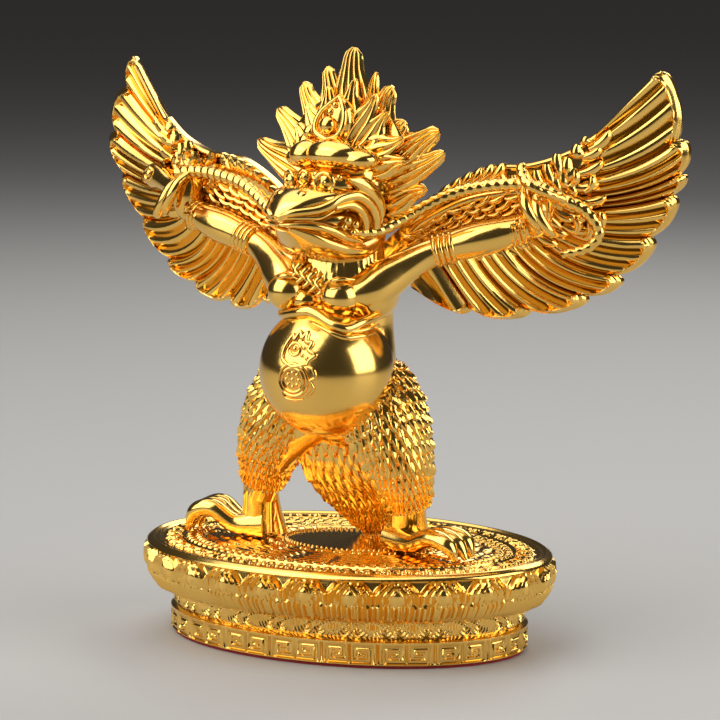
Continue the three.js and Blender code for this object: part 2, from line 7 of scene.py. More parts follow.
import bmesh
import bpy
import numpy as np
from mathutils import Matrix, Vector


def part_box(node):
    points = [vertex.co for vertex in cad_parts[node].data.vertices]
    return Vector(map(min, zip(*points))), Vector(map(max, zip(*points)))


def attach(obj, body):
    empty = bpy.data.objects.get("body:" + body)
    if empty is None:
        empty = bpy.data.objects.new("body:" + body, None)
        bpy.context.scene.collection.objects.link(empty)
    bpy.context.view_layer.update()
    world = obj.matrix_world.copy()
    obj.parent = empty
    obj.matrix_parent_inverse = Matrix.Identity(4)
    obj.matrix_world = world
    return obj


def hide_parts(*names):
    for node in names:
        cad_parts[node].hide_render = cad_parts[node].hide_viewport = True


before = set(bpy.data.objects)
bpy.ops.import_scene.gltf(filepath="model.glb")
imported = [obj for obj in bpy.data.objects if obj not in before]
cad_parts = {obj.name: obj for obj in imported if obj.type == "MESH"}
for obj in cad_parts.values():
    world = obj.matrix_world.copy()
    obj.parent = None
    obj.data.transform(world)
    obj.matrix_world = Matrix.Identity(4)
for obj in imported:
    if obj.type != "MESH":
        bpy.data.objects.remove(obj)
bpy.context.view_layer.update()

MM = 0.001
TAU = 2 * math.pi

SOLE_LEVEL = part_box("garuda_figure")[0][2] / MM
PLINTH_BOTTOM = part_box("lotus_plinth")[0][2] / MM
PLINTH_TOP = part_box("lotus_plinth")[1][2] / MM
PLINTH_HALF_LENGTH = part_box("lotus_plinth")[1][0] / MM
PLINTH_HALF_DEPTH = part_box("lotus_plinth")[1][1] / MM

HEAD_TURN = math.radians(17)
X_AXIS = np.array([1.0, 0.0, 0.0])
AHEAD = np.array([0.0, -1.0, 0.0])
UP = np.array([0.0, 0.0, 1.0])
HEAD_ACROSS = np.array([math.cos(HEAD_TURN), -math.sin(HEAD_TURN), 0.0])
HEAD_AHEAD = np.array([-math.sin(HEAD_TURN), -math.cos(HEAD_TURN), 0.0])


# Small mathematics

def smooth(low, high, value):
    """Eases from 0 at low to 1 at high."""
    share = np.clip((value - low) / (high - low), 0, 1)
    return share * share * (3 - 2 * share)


def ridge(distance, width):
    return np.exp(-(distance / width) ** 2)


def spline(points, places):
    """Catmull-Rom positions at places from 0 to 1 through the given points."""
    points = np.asarray(points, float)
    count = len(points)
    place = np.clip(np.asarray(places, float), 0, 1) * (count - 1)
    index = np.minimum(place.astype(int), count - 2)
    local = (place - index)[..., None]
    before = points[np.maximum(index - 1, 0)]
    start = points[index]
    end = points[index + 1]
    after = points[np.minimum(index + 2, count - 1)]
    first = (end - before) / 2
    last = (after - start) / 2
    square = local * local
    cube = square * local
    return ((2 * cube - 3 * square + 1) * start + (cube - 2 * square + local) * first
            + (3 * square - 2 * cube) * end + (cube - square) * last)


def stations(values, places):
    """A number that runs smoothly through evenly spaced values."""
    return spline(np.asarray(values, float)[:, None], places)[..., 0]


def round_angles(count):
    return TAU * np.arange(count) / count


def unit(vectors):
    return vectors / np.maximum(np.linalg.norm(vectors, axis=-1, keepdims=True), 1e-9)


def on_head(across, ahead, height):
    """A point from the head's own directions: to its left, along its beak, and height."""
    origin = np.array([3.5, -6.0, 0.0])
    return origin + HEAD_ACROSS * across + HEAD_AHEAD * ahead + UP * height


# Closed solids, each a pair of vertices and faces

def wrap_faces(rows, columns, closed_rows=False):
    """Quads of a grid whose columns wrap round."""
    row = np.arange(rows if closed_rows else rows - 1)[:, None]
    column = np.arange(columns)[None]
    beside = (column + 1) % columns
    above = (row + 1) % rows
    start, end = row * columns, above * columns
    quads = np.stack([start + column, start + beside, end + beside, end + column], -1)
    return quads.reshape(-1, 4)


def tube(rings):
    """Rings of equal count skinned into one closed solid, with a fan over each end."""
    rings = np.asarray(rings, float)
    rows, count = rings.shape[:2]
    points = np.concatenate([rings.reshape(-1, 3), [rings[0].mean(0), rings[-1].mean(0)]])
    i = np.arange(count)
    j = (i + 1) % count
    first = rows * count
    last = (rows - 1) * count
    start_fan = np.stack([np.full(count, first), j, i], -1)
    end_fan = np.stack([np.full(count, first + 1), last + i, last + j], -1)
    return outward(points, wrap_faces(rows, count), np.concatenate([start_fan, end_fan]))


def slab(front, back):
    """A closed slab between two grids of points of the same shape."""
    rows, columns = front.shape[:2]
    points = np.concatenate([front.reshape(-1, 3), back.reshape(-1, 3)])
    shift = rows * columns
    corner = np.arange(rows - 1)[:, None] * columns + np.arange(columns - 1)
    quads = np.stack([corner, corner + columns, corner + columns + 1, corner + 1], -1).reshape(-1, 4)
    border = np.concatenate([
        np.arange(columns),
        np.arange(1, rows) * columns + columns - 1,
        (rows - 1) * columns + np.arange(columns - 2, -1, -1),
        np.arange(rows - 2, 0, -1) * columns,
    ])
    beside = np.roll(border, -1)
    rim = np.stack([border, beside, shift + beside, shift + border], -1)
    return outward(points, np.concatenate([quads, shift + quads[:, ::-1], rim]), np.zeros((0, 3), int))


def outward(points, quads, triangles):
    """Turns the faces over where the solid's signed volume is negative."""
    corners = np.concatenate([triangles, quads[:, [0, 1, 2]], quads[:, [0, 2, 3]]])
    a, b, c = (points[corners[:, k]] for k in range(3))
    if np.einsum("ij,ij->i", a, np.cross(b, c)).sum() < 0:
        quads, triangles = quads[:, ::-1], triangles[:, ::-1]
    return points, quads, triangles


def frames_along(centres, side):
    """Directions across and over a path at each of its points."""
    tangents = unit(np.gradient(centres, axis=0))
    across = unit(side - tangents * (tangents @ side)[:, None])
    return across, np.cross(across, tangents)


def skinned(centres, across, over, wide, high):
    """A closed solid whose rings reach wide across the path and high over it."""
    return tube(centres[:, None] + across[:, None] * wide[..., None] + over[:, None] * high[..., None])


def limb(path, widths, heights, side=AHEAD, sides=16, steps=16):
    """A rounded limb along a path, its half width kept towards one side."""
    places = np.linspace(0, 1, steps + 1)
    centres = spline(path, places)
    across, over = frames_along(centres, np.asarray(side, float))
    angles = TAU * (np.arange(sides) + 0.5) / sides
    wide = stations(widths, places)[:, None] * np.cos(angles)
    high = stations(heights, places)[:, None] * np.sin(angles)
    return skinned(centres, across, over, wide, high)


def rounded(path, radii, side=AHEAD, sides=12, steps=12):
    return limb(path, radii, radii, side, sides, steps)


def ball(centre, radii, around=24, turn=0.0):
    """An ellipsoid, turned about the upright axis."""
    rows = around // 2
    polar = np.linspace(0.02, math.pi - 0.02, rows + 1)
    angles = round_angles(around)
    x = np.sin(polar)[:, None] * np.cos(angles) * radii[0]
    y = np.sin(polar)[:, None] * np.sin(angles) * radii[1]
    z = np.cos(polar)[:, None] * np.ones(around) * radii[2]
    cosine, sine = math.cos(turn), math.sin(turn)
    rings = np.stack([x * cosine - y * sine, x * sine + y * cosine, z], -1) + np.asarray(centre, float)
    return tube(rings)


def bead(centre, radius, around):
    return ball(centre, [radius] * 3, around)


def leaf(centres, side, half_widths, height, sink, ridges=2, lanes=11, groove=0.35):
    """A ridged leaf that lies along a path, its face towards over = across x tangent."""
    across, over = frames_along(centres, np.asarray(side, float))
    share = np.linspace(-1, 1, lanes)
    dome = np.sqrt(np.clip(1 - share**2, 0, 1))
    ripple = 1 - groove + groove * np.abs(np.sin(math.pi * ridges * (share + 1) / 2))
    top = height[:, None] * (dome * ripple)[None]
    low_share = share[::-1][1:-1:3]
    low_dome = np.sqrt(1 - low_share**2)
    wide = half_widths[:, None] * np.concatenate([share, low_share])
    high = np.concatenate([top, -sink[:, None] * low_dome], axis=1)
    return skinned(centres, across, over, wide, high)


# Wings: every feather lies on one swept-back surface

WING_FLAT = 10
WING_REACH = 60
WING_SET_BACK = 5
WING_SWEEP = 19
LEADING_EDGE = [[4, 68], [14, 77], [23, 85], [32, 89.6], [41, 90.4], [50, 93.6], [56, 98]]
WING_TIPS = {
    1: [[16, 60], [26, 54.8], [37, 54], [49, 55.8], [59.4, 60.8],
        [67.5, 70], [73.1, 82], [74.8, 95], [70, 113.4]],
    -1: [[16, 59.5], [26, 53.6], [37.5, 53.2], [48.6, 56.7], [58.5, 62.6],
         [66.2, 71], [74.6, 82], [79.2, 94.8], [69.2, 114]],
}
FEATHER_ROOTS = [[6, 65], [16.5, 69], [24.5, 71], [31, 73], [38, 74.5],
                 [45.5, 76], [49, 79.5], [50.5, 85], [55, 96.5]]
FEATHER_MIDDLES = [[12, 62.4], [21.6, 61.8], [29.6, 61.8], [37.8, 62.8], [46.4, 65],
                   [56.4, 70.8], [62, 79.4], [64.4, 88], [62.4, 105]]
FEATHER_EDGES = {
    1: [0, 0.17, 0.32, 0.464, 0.553, 0.667, 0.77, 0.822, 0.895, 1],
    -1: [0, 0.13, 0.25, 0.39, 0.51, 0.65, 0.77, 0.875, 0.945, 1],
}
FEATHER_RIDGES = {1: [2, 3, 3, 3, 3, 3, 2, 3, 4], -1: [2, 2, 3, 3, 3, 3, 3, 3, 3]}
LANES_PER_RIDGE = 7
NOTCH_DEPTH = 2.6
FEATHER_RIDGE_HEIGHT = 1.6
FEATHER_TILT = 1.1
ROOT_THICKNESS = 3.0
TIP_THICKNESS = 1.6
LEAF_SINK = 1.4


def wing_depth(x):
    return WING_SET_BACK + WING_SWEEP * (np.maximum(0, x - WING_FLAT) / WING_REACH) ** 1.6


def on_wing(side, spots, lift):
    """Points over the wing's surface, from flat places (x, z) and a lift towards the front."""
    x = spots[..., 0]
    return np.stack([side * x, wing_depth(x) - lift, spots[..., 1]], -1)


def quill_points(side, t, share):
    """Flat places on the wing at t along it; share runs -1 leading edge, 0 feather root, 1 tip."""
    t = np.asarray(t, float)
    root = spline(FEATHER_ROOTS, t)
    lead = spline(LEADING_EDGE, t)
    middle = spline(FEATHER_MIDDLES, t)
    tip = spline(WING_TIPS[side], t)
    s = np.clip(share, 0, None)[..., None]
    up = np.clip(-share, 0, None)[..., None]
    quill = root * (1 - s) * (1 - 2 * s) + 4 * middle * s * (1 - s) + tip * s * (2 * s - 1)
    return np.where(share[..., None] < 0, root + (lead - root) * up, quill)


def feather_columns(side):
    """The columns of a wing's grid: t along the wing, place across the feather, its number of ridges."""
    edges = FEATHER_EDGES[side]
    columns = []
    for low, high, ridges in zip(edges[:-1], edges[1:], FEATHER_RIDGES[side]):
        place = np.linspace(0, 1, LANES_PER_RIDGE * ridges + 1)
        t = low + (high - low) * (0.004 + 0.992 * place)
        columns.append(np.stack([t, place, np.full(len(place), ridges)]))
    return np.concatenate(columns, axis=1)


def wing_slab(side):
    """The cast wing: nine long feathers of rounded ridges, the outer two joined round each tip."""
    t, place, ridges = feather_columns(side)
    upper = np.linspace(-1, -0.06, 11)
    lower = np.concatenate([np.linspace(0, 0.84, 18), np.linspace(0.86, 1, 16)])
    share = np.concatenate([upper, lower])[:, None] * np.ones(len(t))
    length = np.linalg.norm(spline(WING_TIPS[side], t) - spline(FEATHER_ROOTS, t), axis=-1)
    off_middle = np.abs(2 * place - 1)
    notch = NOTCH_DEPTH / length * off_middle**3 * smooth(0.5, 1, share)
    spots = quill_points(side, np.broadcast_to(t, share.shape), share - notch)
    root = smooth(0.0, 0.1, share)
    wave = np.abs(np.sin(math.pi * ridges * place)) ** 1.1
    turn = share + 0.045 * off_middle**2
    hairpin = ridge(turn - 0.945, 0.022) * smooth(1.0, 0.9, off_middle)
    body = FEATHER_RIDGE_HEIGHT * np.maximum(wave * smooth(0.965, 0.93, turn), hairpin)
    body = body + 0.2 * smooth(0.95, 0.98, turn)
    tilt = FEATHER_TILT * (place - 0.5) * root
    closing = 1 - 0.7 * smooth(0.975, 1, share)
    arm_swell = 2.4 * ridge(share + 0.2, 0.45) * (1 - t)
    front = (0.5 + root * body + tilt) * closing + arm_swell
    thick = (ROOT_THICKNESS * (1 - t) + TIP_THICKNESS * t) * (1 - 0.35 * smooth(0.7, 1, share))
    back_wave = 0.55 * wave * smooth(0.02, 0.15, share) * smooth(1, 0.95, share) + 0.4 * tilt
    return slab(on_wing(side, spots, front), on_wing(side, spots, -thick - back_wave))


def leading_rim(side):
    """The smooth raised edge from the wrist up to the wing's tip."""
    flat = spline(LEADING_EDGE, np.linspace(0.42, 1, 9))
    flat = np.concatenate([flat, [[60, 102.4], [64.6, 107.6], [68.6, 112.2]]])
    path = on_wing(side, flat + [0.4, -0.7], 0.4)
    return rounded(path, [0.5, 0.65, 0.7, 0.7, 0.65, 0.4], sides=12, steps=40)


def wing_leaf(side, root, tip, half_width, height, bow=0.08, ridges=2, steps=9, base=0.5):
    """A short feather over the wing's surface."""
    root, tip = np.asarray(root, float), np.asarray(tip, float)
    run = tip - root
    place = np.linspace(0, 1, steps + 1)
    bend = np.array([run[1], -run[0]]) * bow
    flat = root + run * place[:, None] + bend * (4 * place * (1 - place))[:, None]
    lift = base + height * 0.35 * place
    centres = on_wing(side, flat, lift)
    profile = np.sqrt(np.clip(1 - ((place - 0.55) / np.where(place < 0.55, 0.75, 0.46)) ** 2, 0.02, 1))
    sideways = np.array([side * run[1], 0, -run[0]])
    sink = np.full(steps + 1, LEAF_SINK)
    return leaf(centres, sideways, half_width * profile, height * profile ** 0.6, sink, ridges)


def covert_rows(side):
    """Short feathers along the leading edge, round the wrist, over the arm and under the forearm."""
    leaves = []
    for i in range(8):
        t = 0.24 + 0.045 * i
        tip = spline(LEADING_EDGE, t) + [1.2, 0.5]
        leaves.append(wing_leaf(side, tip + [-4.6, -5.4], tip, 1.7, 1.7, 0.1, ridges=1, base=1.5))
    for row in range(4):
        for i in range(9):
            t = 0.55 + 0.048 * i + 0.024 * (row % 2)
            start = -0.92 + 0.3 * row + 0.1 * math.sin(2.3 * i + row)
            root, tip = quill_points(side, np.array([t, t + 0.014]), np.array([start, start + 0.4]))
            length = np.linalg.norm(tip - root)
            tip = root + (tip - root) * min(1, 6.4 / length)
            leaves.append(wing_leaf(side, root, tip, 1.5, 1.5, 0.12, ridges=1, base=1.5 + 0.15 * (3 - row)))
    for row in range(2):
        for i in range(10):
            t = 0.1 + 0.042 * i + 0.02 * row
            shares = np.array([-0.28 + 0.2 * row, 0.02 + 0.19 * row])
            root, tip = quill_points(side, np.array([t, t + 0.02]), shares)
            leaves.append(wing_leaf(side, root, tip, 1.6, 1.1, 0.1, ridges=2, base=1.5 - 0.3 * row))
    return leaves + field_leaves(side)


ROPE_UNDERSIDE = [[15, 74.4], [19, 77.6], [27, 81.8], [34.4, 83.8], [42, 84.4]]
FOREARM_TOP = [[15, 69.5], [20.5, 72.5], [27, 76.0], [34, 78.2], [41, 79.4]]
FIELD_LIFT = 2.6


def field_leaves(side):
    """Slanted leaves in three rows between the snake and the forearm, under a smooth band."""
    leaves = []
    for row in range(3):
        for i in range(9):
            place = (i + 0.5 * (row % 2) + 0.3) / 9.5
            low, high = spline(FOREARM_TOP, place), spline(ROPE_UNDERSIDE, place)
            centre = low + (high - low) * (0.14 + 0.3 * row)
            slant = np.array([1.7, 0.9 + 0.5 * math.sin(1.7 * i + 2 * row)])
            ends = (centre - slant, centre + slant)
            leaves.append(wing_leaf(side, *ends, 1.0, 1.3, 0.15, ridges=1, steps=6, base=FIELD_LIFT))
    band = spline(ROPE_UNDERSIDE, np.linspace(0, 1, 9)) + [0, -0.4]
    leaves.append(rounded(on_wing(side, band, FIELD_LIFT), [0.9, 1.0, 1.0, 0.8], sides=10, steps=30))
    return leaves


# Arms and hands

ELBOW = np.array([24.5, -1, 71.0])
WRIST = np.array([41, 4.6, 75.5])
FIST = np.array([45.5, 6, 81.0])
FINGER = [[43.4, 3.2, 85.4], [44.4, -0.2, 83.4], [46.0, -1.2, 80.2], [47.8, -0.2, 77.4], [48.6, 2.2, 76.4]]
STRAND = [[42.2, 3.6, 90.4], [43.8, 0.6, 88.0], [46.6, -0.8, 86.2], [50.0, 0.6, 84.6], [52.6, 3.4, 83.2]]


def mirrored(points, side):
    return np.asarray(points, float) * [side, 1, 1]


def bangle_set(side, middle, towards, radius, count, pitch):
    """A row of rounded rings about the arm."""
    direction = unit(towards - middle)
    rings = []
    for i in range(count):
        centre = middle + direction * (i - (count - 1) / 2) * pitch
        steps = np.linspace(-1, 1, 7)
        path = mirrored(centre + direction * steps[:, None] * pitch * 0.52, side)
        profile = 0.8 + 0.2 * np.sqrt(np.clip(1 - steps**2, 0, 1))
        rings.append(rounded(path, radius * profile, steps=6, sides=28))
    return rings


def arm(side):
    start = CHEST_SPOTS[side] + [-side * 0.6, 1.2, 0]
    upper = [start, [side * 9.5, -10.6, 61.4], [side * 13, -7.6, 64], [side * 16.6, -5, 66.6],
             [side * 20.6, -2.6, 69.2], [side * 24.5, -1, 71], [side * 26.5, -0.4, 71.5]]
    barrel = mirrored([ELBOW, [28.6, 0.3, 72.2], [32.6, 1.5, 73.3], [37, 3, 74.5], WRIST + [2, 0.8, 1]], side)
    solids = [
        rounded(upper, [3.6, 4.8, 4.9, 4.0, 3.4, 3.1, 3.0], side=AHEAD, sides=28, steps=32),
        rounded(barrel, [3.0, 3.7, 4.0, 3.7, 2.7], sides=32, steps=24),
    ]
    solids += bangle_set(side, ELBOW + [0.6, 0, 0.2], WRIST, 3.9, 4, 1.3)
    solids += bangle_set(side, WRIST, WRIST * 2 - ELBOW, 3.5, 3, 1.25)
    flower = mirrored(WRIST + [1.8, -3.2, 1.6], side)
    solids += rosette(flower, [0.3 * side, -1, 0.2], 1.5)
    return solids


def rosette(centre, facing, radius):
    """A small flower: a ring of beads round a centre bead."""
    facing = unit(np.asarray(facing, float))
    across = unit(np.cross(facing, UP))
    over = np.cross(across, facing)
    solids = [bead(centre + facing * 0.2, radius * 0.42, 10)]
    for i in range(6):
        angle = TAU * i / 6
        spot = centre + (across * math.cos(angle) + over * math.sin(angle)) * radius * 0.72
        solids.append(bead(spot, radius * 0.36, 8))
    return solids


def hand(side):
    """A fist round the snake: a smooth oval palm, two long fingers over it and a twisted strand."""
    solids = [ball(mirrored(FIST + [-0.4, 0.2, -0.8], side), [3.7, 3.9, 6.2], 40)]
    for offset in (0, 2.5):
        finger = mirrored(FINGER, side) + [side * offset, 0.3 * offset, -0.5 * offset]
        solids.append(rounded(finger, [1.0, 1.35, 1.3, 1.2, 0.7], sides=16, steps=18))
    solids.append(snake_body(mirrored(STRAND, side), 1.2, 0.7))
    for x, z, lean in ((50.6, 87.6, 1.2), (47.4, 89.2, 0.4), (53.8, 86.4, 1.6)):
        solids.append(wing_leaf(side, [x, z - 2.4], [x + lean, z + 1.6], 1.1, 1.4, 0.2, ridges=1, base=2.2))
    return solids


# Snake

SNAKE_ROUTE = [[6, -19, 77], [9.8, -13, 75.4], [13.5, -9, 76], [18, -5, 79], [26.3, -0.5, 83.6],
               [34.2, 2, 85.6], [41.9, 4, 86.2], [47, 4.5, 85.5]]
SNAKE_LOOP = [[47, 4.5, 85.5], [51.5, 4.6, 83.2], [56.5, 6, 80.8],
              [59.8, 7.4, 76], [57.2, 7, 72], [51.5, 5.6, 70.4]]
LOOP_FLAMES = [[52.2, 76.6, -0.6], [54.6, 75.4, 0.2], [56.6, 77.4, 0.9], [53.4, 79.4, -0.2]]
SNAKE_RADIUS = 1.45
SNAKE_TWIST = 2.1
SNAKE_STEP = 0.42
SNAKE_SIDES = 14


def snake_body(route, radius=SNAKE_RADIUS, taper=1.0):
    """A scaled snake: slanting beads wind round a round body."""
    centres = spline(route, np.linspace(0, 1, 400))
    lengths = np.concatenate([[0], np.cumsum(np.linalg.norm(np.diff(centres, axis=0), axis=1))])
    steps = int(lengths[-1] / SNAKE_STEP)
    even = np.interp(np.linspace(0, lengths[-1], steps + 1), lengths, np.linspace(0, 1, 400))
    centres = spline(route, even)
    across, over = frames_along(centres, AHEAD)
    angles = round_angles(SNAKE_SIDES)
    run = np.linspace(0, lengths[-1], steps + 1)[:, None]
    swell = np.abs(np.sin(math.pi * run / SNAKE_TWIST + angles / 2)) ** 0.8
    narrowing = 1 - (1 - taper) * (run / lengths[-1]) ** 2
    size = radius * narrowing * (0.82 + 0.24 * swell)
    return skinned(centres, across, over, size * np.cos(angles), size * np.sin(angles))


def snake(side):
    return [snake_body(mirrored(SNAKE_ROUTE, side))]


def snake_loop():
    """The tail end, looped over the outer wing beyond the left hand, with small flames inside."""
    solids = [snake_body(SNAKE_LOOP, 1.6, 0.6)]
    for i, (x, z, lean) in enumerate(LOOP_FLAMES):
        ends = ([x, z - 2], [x + lean, z + 2.2])
        solids.append(wing_leaf(1, *ends, 1.2, 1.2, 0.15, ridges=1, base=2.4 + 0.2 * i))
    return solids


def snake_head():
    """The snake's head, risen over the right hand, with a ringed eye."""
    path = [[-46, 3.8, 81.8], [-50.5, 8.2, 82.0], [-55.5, 12.2, 83.4],
            [-59, 14.6, 83.6], [-63.4, 17.8, 82.4]]
    eye_centre = np.array([-58.4, 12.2, 84.4])
    facing = unit(np.array([-0.35, -0.9, 0.15]))
    sideways = unit(np.cross(facing, UP))
    over = np.cross(sideways, facing)
    angles = np.linspace(0, TAU, 21)[:-1]
    circle = sideways * np.cos(angles)[:, None] + over * np.sin(angles)[:, None]
    ring = eye_centre + 1.45 * circle + facing * 0.7
    return [
        limb(path, [1.5, 2.2, 2.9, 3.1, 0.9], [1.5, 2.0, 2.3, 2.2, 0.8], side=UP, sides=24, steps=28),
        ball(eye_centre, [1.3, 1.6, 1.3], 16),
        closed_cord(ring, 0.42),
    ]


# Body

def trunk():
    """The trunk up to the neck, with fine upright strands on the neck."""
    spine = [[-1, 1, 23], [0, -2, 31], [0.4, -5, 43], [0.3, -5, 54],
             [0.3, -5, 62], [1.5, -5, 70], [3, -4, 80]]
    places = np.linspace(0, 1, 61)
    centres = spline(spine, places)
    across, over = frames_along(centres, X_AXIS)
    angles = round_angles(120)
    level = centres[:, 2:3]
    strands = 0.28 * np.abs(np.sin(angles * 21 + 0.6 * np.sin(level * 0.8))) * smooth(62, 66, level)
    wide = (stations([4, 12, 13.8, 13.2, 14.2, 9.6, 8.4], places)[:, None] + strands) * np.cos(angles)
    high = (stations([4, 9.5, 10, 9.6, 10, 8.6, 8.4], places)[:, None] + strands) * np.sin(angles)
    return skinned(centres, across, over, wide, high)


BELLY_CENTRE = np.array([0.4, -12, 42.9])
BELLY_RADII = np.array([15.8, 15.5, 15.6])
BELLY_LIFT = 0.1
CORD_SIDES = 8


def on_belly(x, z, lift):
    """A point over the belly's front at a place seen from the front."""
    sideways = (x - BELLY_CENTRE[0]) / BELLY_RADII[0]
    upward = (z - BELLY_CENTRE[2]) / BELLY_RADII[2]
    forward = np.sqrt(np.clip(1 - sideways**2 - upward**2, 0, 1))
    surface = np.stack([x, BELLY_CENTRE[1] - BELLY_RADII[1] * forward, z], -1)
    return surface + unit(surface - BELLY_CENTRE) * np.asarray(lift)[..., None]


def belly_ring(x, z, radius, thickness, count=40):
    angles = np.linspace(0, TAU, count + 1)
    lift = np.full(count + 1, BELLY_LIFT)
    path = on_belly(x + radius * np.cos(angles), z + radius * np.sin(angles), lift)
    return closed_cord(path[:-1], thickness)


def closed_cord(path, radius):
    """A round cord along a closed path."""
    tangents = unit(np.roll(path, -1, axis=0) - np.roll(path, 1, axis=0))
    across = unit(np.cross(tangents, AHEAD + 0.01))
    over = np.cross(across, tangents)
    angles = round_angles(CORD_SIDES)
    circle = across[:, None] * np.cos(angles)[None, :, None] + over[:, None] * np.sin(angles)[None, :, None]
    points = (path[:, None] + radius * circle).reshape(-1, 3)
    return outward(points, wrap_faces(len(path), CORD_SIDES, closed_rows=True), np.zeros((0, 3), int))


def belly_path(spots, radii, steps=20):
    """A rounded ridge over the belly through places (x, z) seen from the front."""
    fine = spline(np.asarray(spots, float), np.linspace(0, 1, steps + 1))
    path = on_belly(fine[:, 0], fine[:, 1], np.full(steps + 1, BELLY_LIFT))
    return rounded(path, radii, sides=10, steps=steps)


def belly_ball(x, z, radius, around=12):
    return ball(on_belly(np.array(x), np.array(z), np.array(0.0)), [radius, radius * 0.8, radius], around)


EMBLEM_X = -1.1
EMBLEM_BOSS_Z = 42.6
EMBLEM_JEWEL_Z = 49.5
BOSS_BEAD_RING = 1.62


def belly_emblem():
    """A jewel in flames above a round boss of nine beads."""
    solids = [
        belly_ring(EMBLEM_X, EMBLEM_BOSS_Z, 3.7, 0.45),
        belly_ring(EMBLEM_X, EMBLEM_BOSS_Z, 2.8, 0.35),
        belly_ball(EMBLEM_X, EMBLEM_BOSS_Z, 0.62),
    ]
    for i in range(8):
        angle = TAU * i / 8
        x = EMBLEM_X + BOSS_BEAD_RING * math.cos(angle)
        z = EMBLEM_BOSS_Z + BOSS_BEAD_RING * math.sin(angle)
        solids.append(belly_ball(x, z, 0.56, 10))
    solids.append(belly_ring(EMBLEM_X, EMBLEM_JEWEL_Z, 1.35, 0.4, 28))
    solids.append(belly_ball(EMBLEM_X, EMBLEM_JEWEL_Z, 0.8))
    outline = [[-2.6, 46.0], [-4.0, 47.2], [-4.0, 49.2], [-3.1, 51.2], [-2.2, 52.4],
               [-1.6, 51.4], [-0.7, 53.2], [0.2, 51.8], [1.2, 53.1], [1.4, 51.2],
               [2.9, 51.0], [2.4, 49.4], [4.2, 48.4], [3.0, 47.4], [2.4, 46.2]]
    solids.append(belly_path(outline, [0.55, 0.65, 0.55], steps=56))
    solids.append(belly_path([[-3.0, 46.2], [-1.1, 45.6], [1.2, 46.1], [2.6, 46.6]], [0.4, 0.5, 0.4]))
    for x, z in ((1.2, 49.8), (1.0, 48.2), (2.2, 47.6)):
        solids.append(belly_ball(x, z, 0.55))
    ribbon = [[2.4, 45.8], [3.9, 45.2], [4.4, 43.4], [3.2, 42.6], [3.9, 40.6], [2.2, 38.9]]
    solids.append(belly_path(ribbon, [0.3, 0.5, 0.4, 0.5, 0.3]))
    solids.append(belly_path([[-4.6, 40.6], [-3.4, 38.4], [-1.2, 37.9], [1.4, 38.3]], [0.25, 0.4, 0.25]))
    return solids


def belly():
    return [ball(BELLY_CENTRE, BELLY_RADII, 72)] + belly_emblem()


CHEST_SPOTS = {-1: np.array([-8.6, -13.8, 61.0]), 1: np.array([4.8, -14.0, 60.4])}


def chest():
    """Two breasts, smooth flanks, the waist's folds, crescents and a knot of curls."""
    solids = [
        ball(CHEST_SPOTS[-1], [4.8, 5.0, 4.7], 36),
        ball([-4.2, -13.2, 59.2], [4.0, 4.0, 3.2], 28),
        ball(CHEST_SPOTS[1], [4.8, 5.0, 4.7], 36),
        ball([3.4, -13.0, 58.8], [3.8, 3.8, 2.8], 28),
        ball([9.6, -7, 60.8], [6.2, 7.6, 6.8], 36),
        ball([-9.6, -7, 61.2], [6.0, 7.4, 6.4], 36),
    ]
    fold = [[-14.2, -5.5, 55.6], [-10, -13.6, 55.4], [-4.2, -18.4, 56.7], [-0.2, -19.2, 57.2],
            [2.8, -20.0, 56.3], [5.2, -20.8, 55.2], [7.4, -20.7, 54.3], [9.0, -19.6, 53.9],
            [10.8, -16.2, 54.9], [12.6, -9.5, 56.2], [12.8, -4, 57]]
    below = [[1.4, -21.7, 55.0], [4, -22.2, 54.1], [6.4, -22.2, 53.1], [8.4, -21.6, 52.3], [9.7, -20.7, 52.0],
             [11.1, -18.9, 52.1], [12.4, -16.5, 52.2], [13.2, -13.4, 52.4]]
    third = [[9.8, -20.0, 53.4], [11, -18, 53.3], [12.4, -15.6, 53.6], [13.6, -12, 54.4]]
    solids.append(rounded(fold, [0.8, 1.3, 1.5, 1.3, 1.2, 1.2, 0.8], side=UP, sides=20, steps=48))
    solids.append(rounded(below, [0.25, 0.55, 0.6, 0.55, 0.2], side=UP, sides=12, steps=30))
    solids.append(rounded(third, [0.2, 0.5, 0.2], side=UP, sides=10, steps=16))
    for curl in ([[2.0, -15.6, 63.4], [4.2, -17.0, 64.4], [6.6, -16.6, 64.9], [8.6, -14.6, 64.6]],
                 [[2.6, -17.0, 61.8], [4.4, -18.0, 62.6], [6.6, -17.8, 62.9]],
                 [[-11.2, -15.4, 63.2], [-9.4, -17.2, 64.6], [-7, -17.4, 65], [-5, -15.8, 64.2]]):
        solids.append(rounded(curl, [0.25, 0.55, 0.25], sides=10, steps=16))
    return solids + chest_curls()


def chest_curls():
    """A knot of short curls between the throat and the breasts."""
    solids = []
    for i in range(9):
        x = -6.2 + 0.85 * i
        z = 66.2 - 0.45 * i + 1.1 * (i % 2)
        turn = 1.2 if i % 2 else -1.1
        curl = [[x - turn * 0.6, -11.6, z + 1.6], [x + turn * 0.5, -14.4, z + 1.0],
                [x - turn * 0.4, -15.6, z - 0.6], [x + turn * 0.9, -15.8, z - 1.9],
                [x + turn * 1.5, -14.6, z - 1.3]]
        solids.append(rounded(curl, [0.8, 0.75, 0.6, 0.5, 0.3], sides=10, steps=18))
    return solids


# Feathered limbs

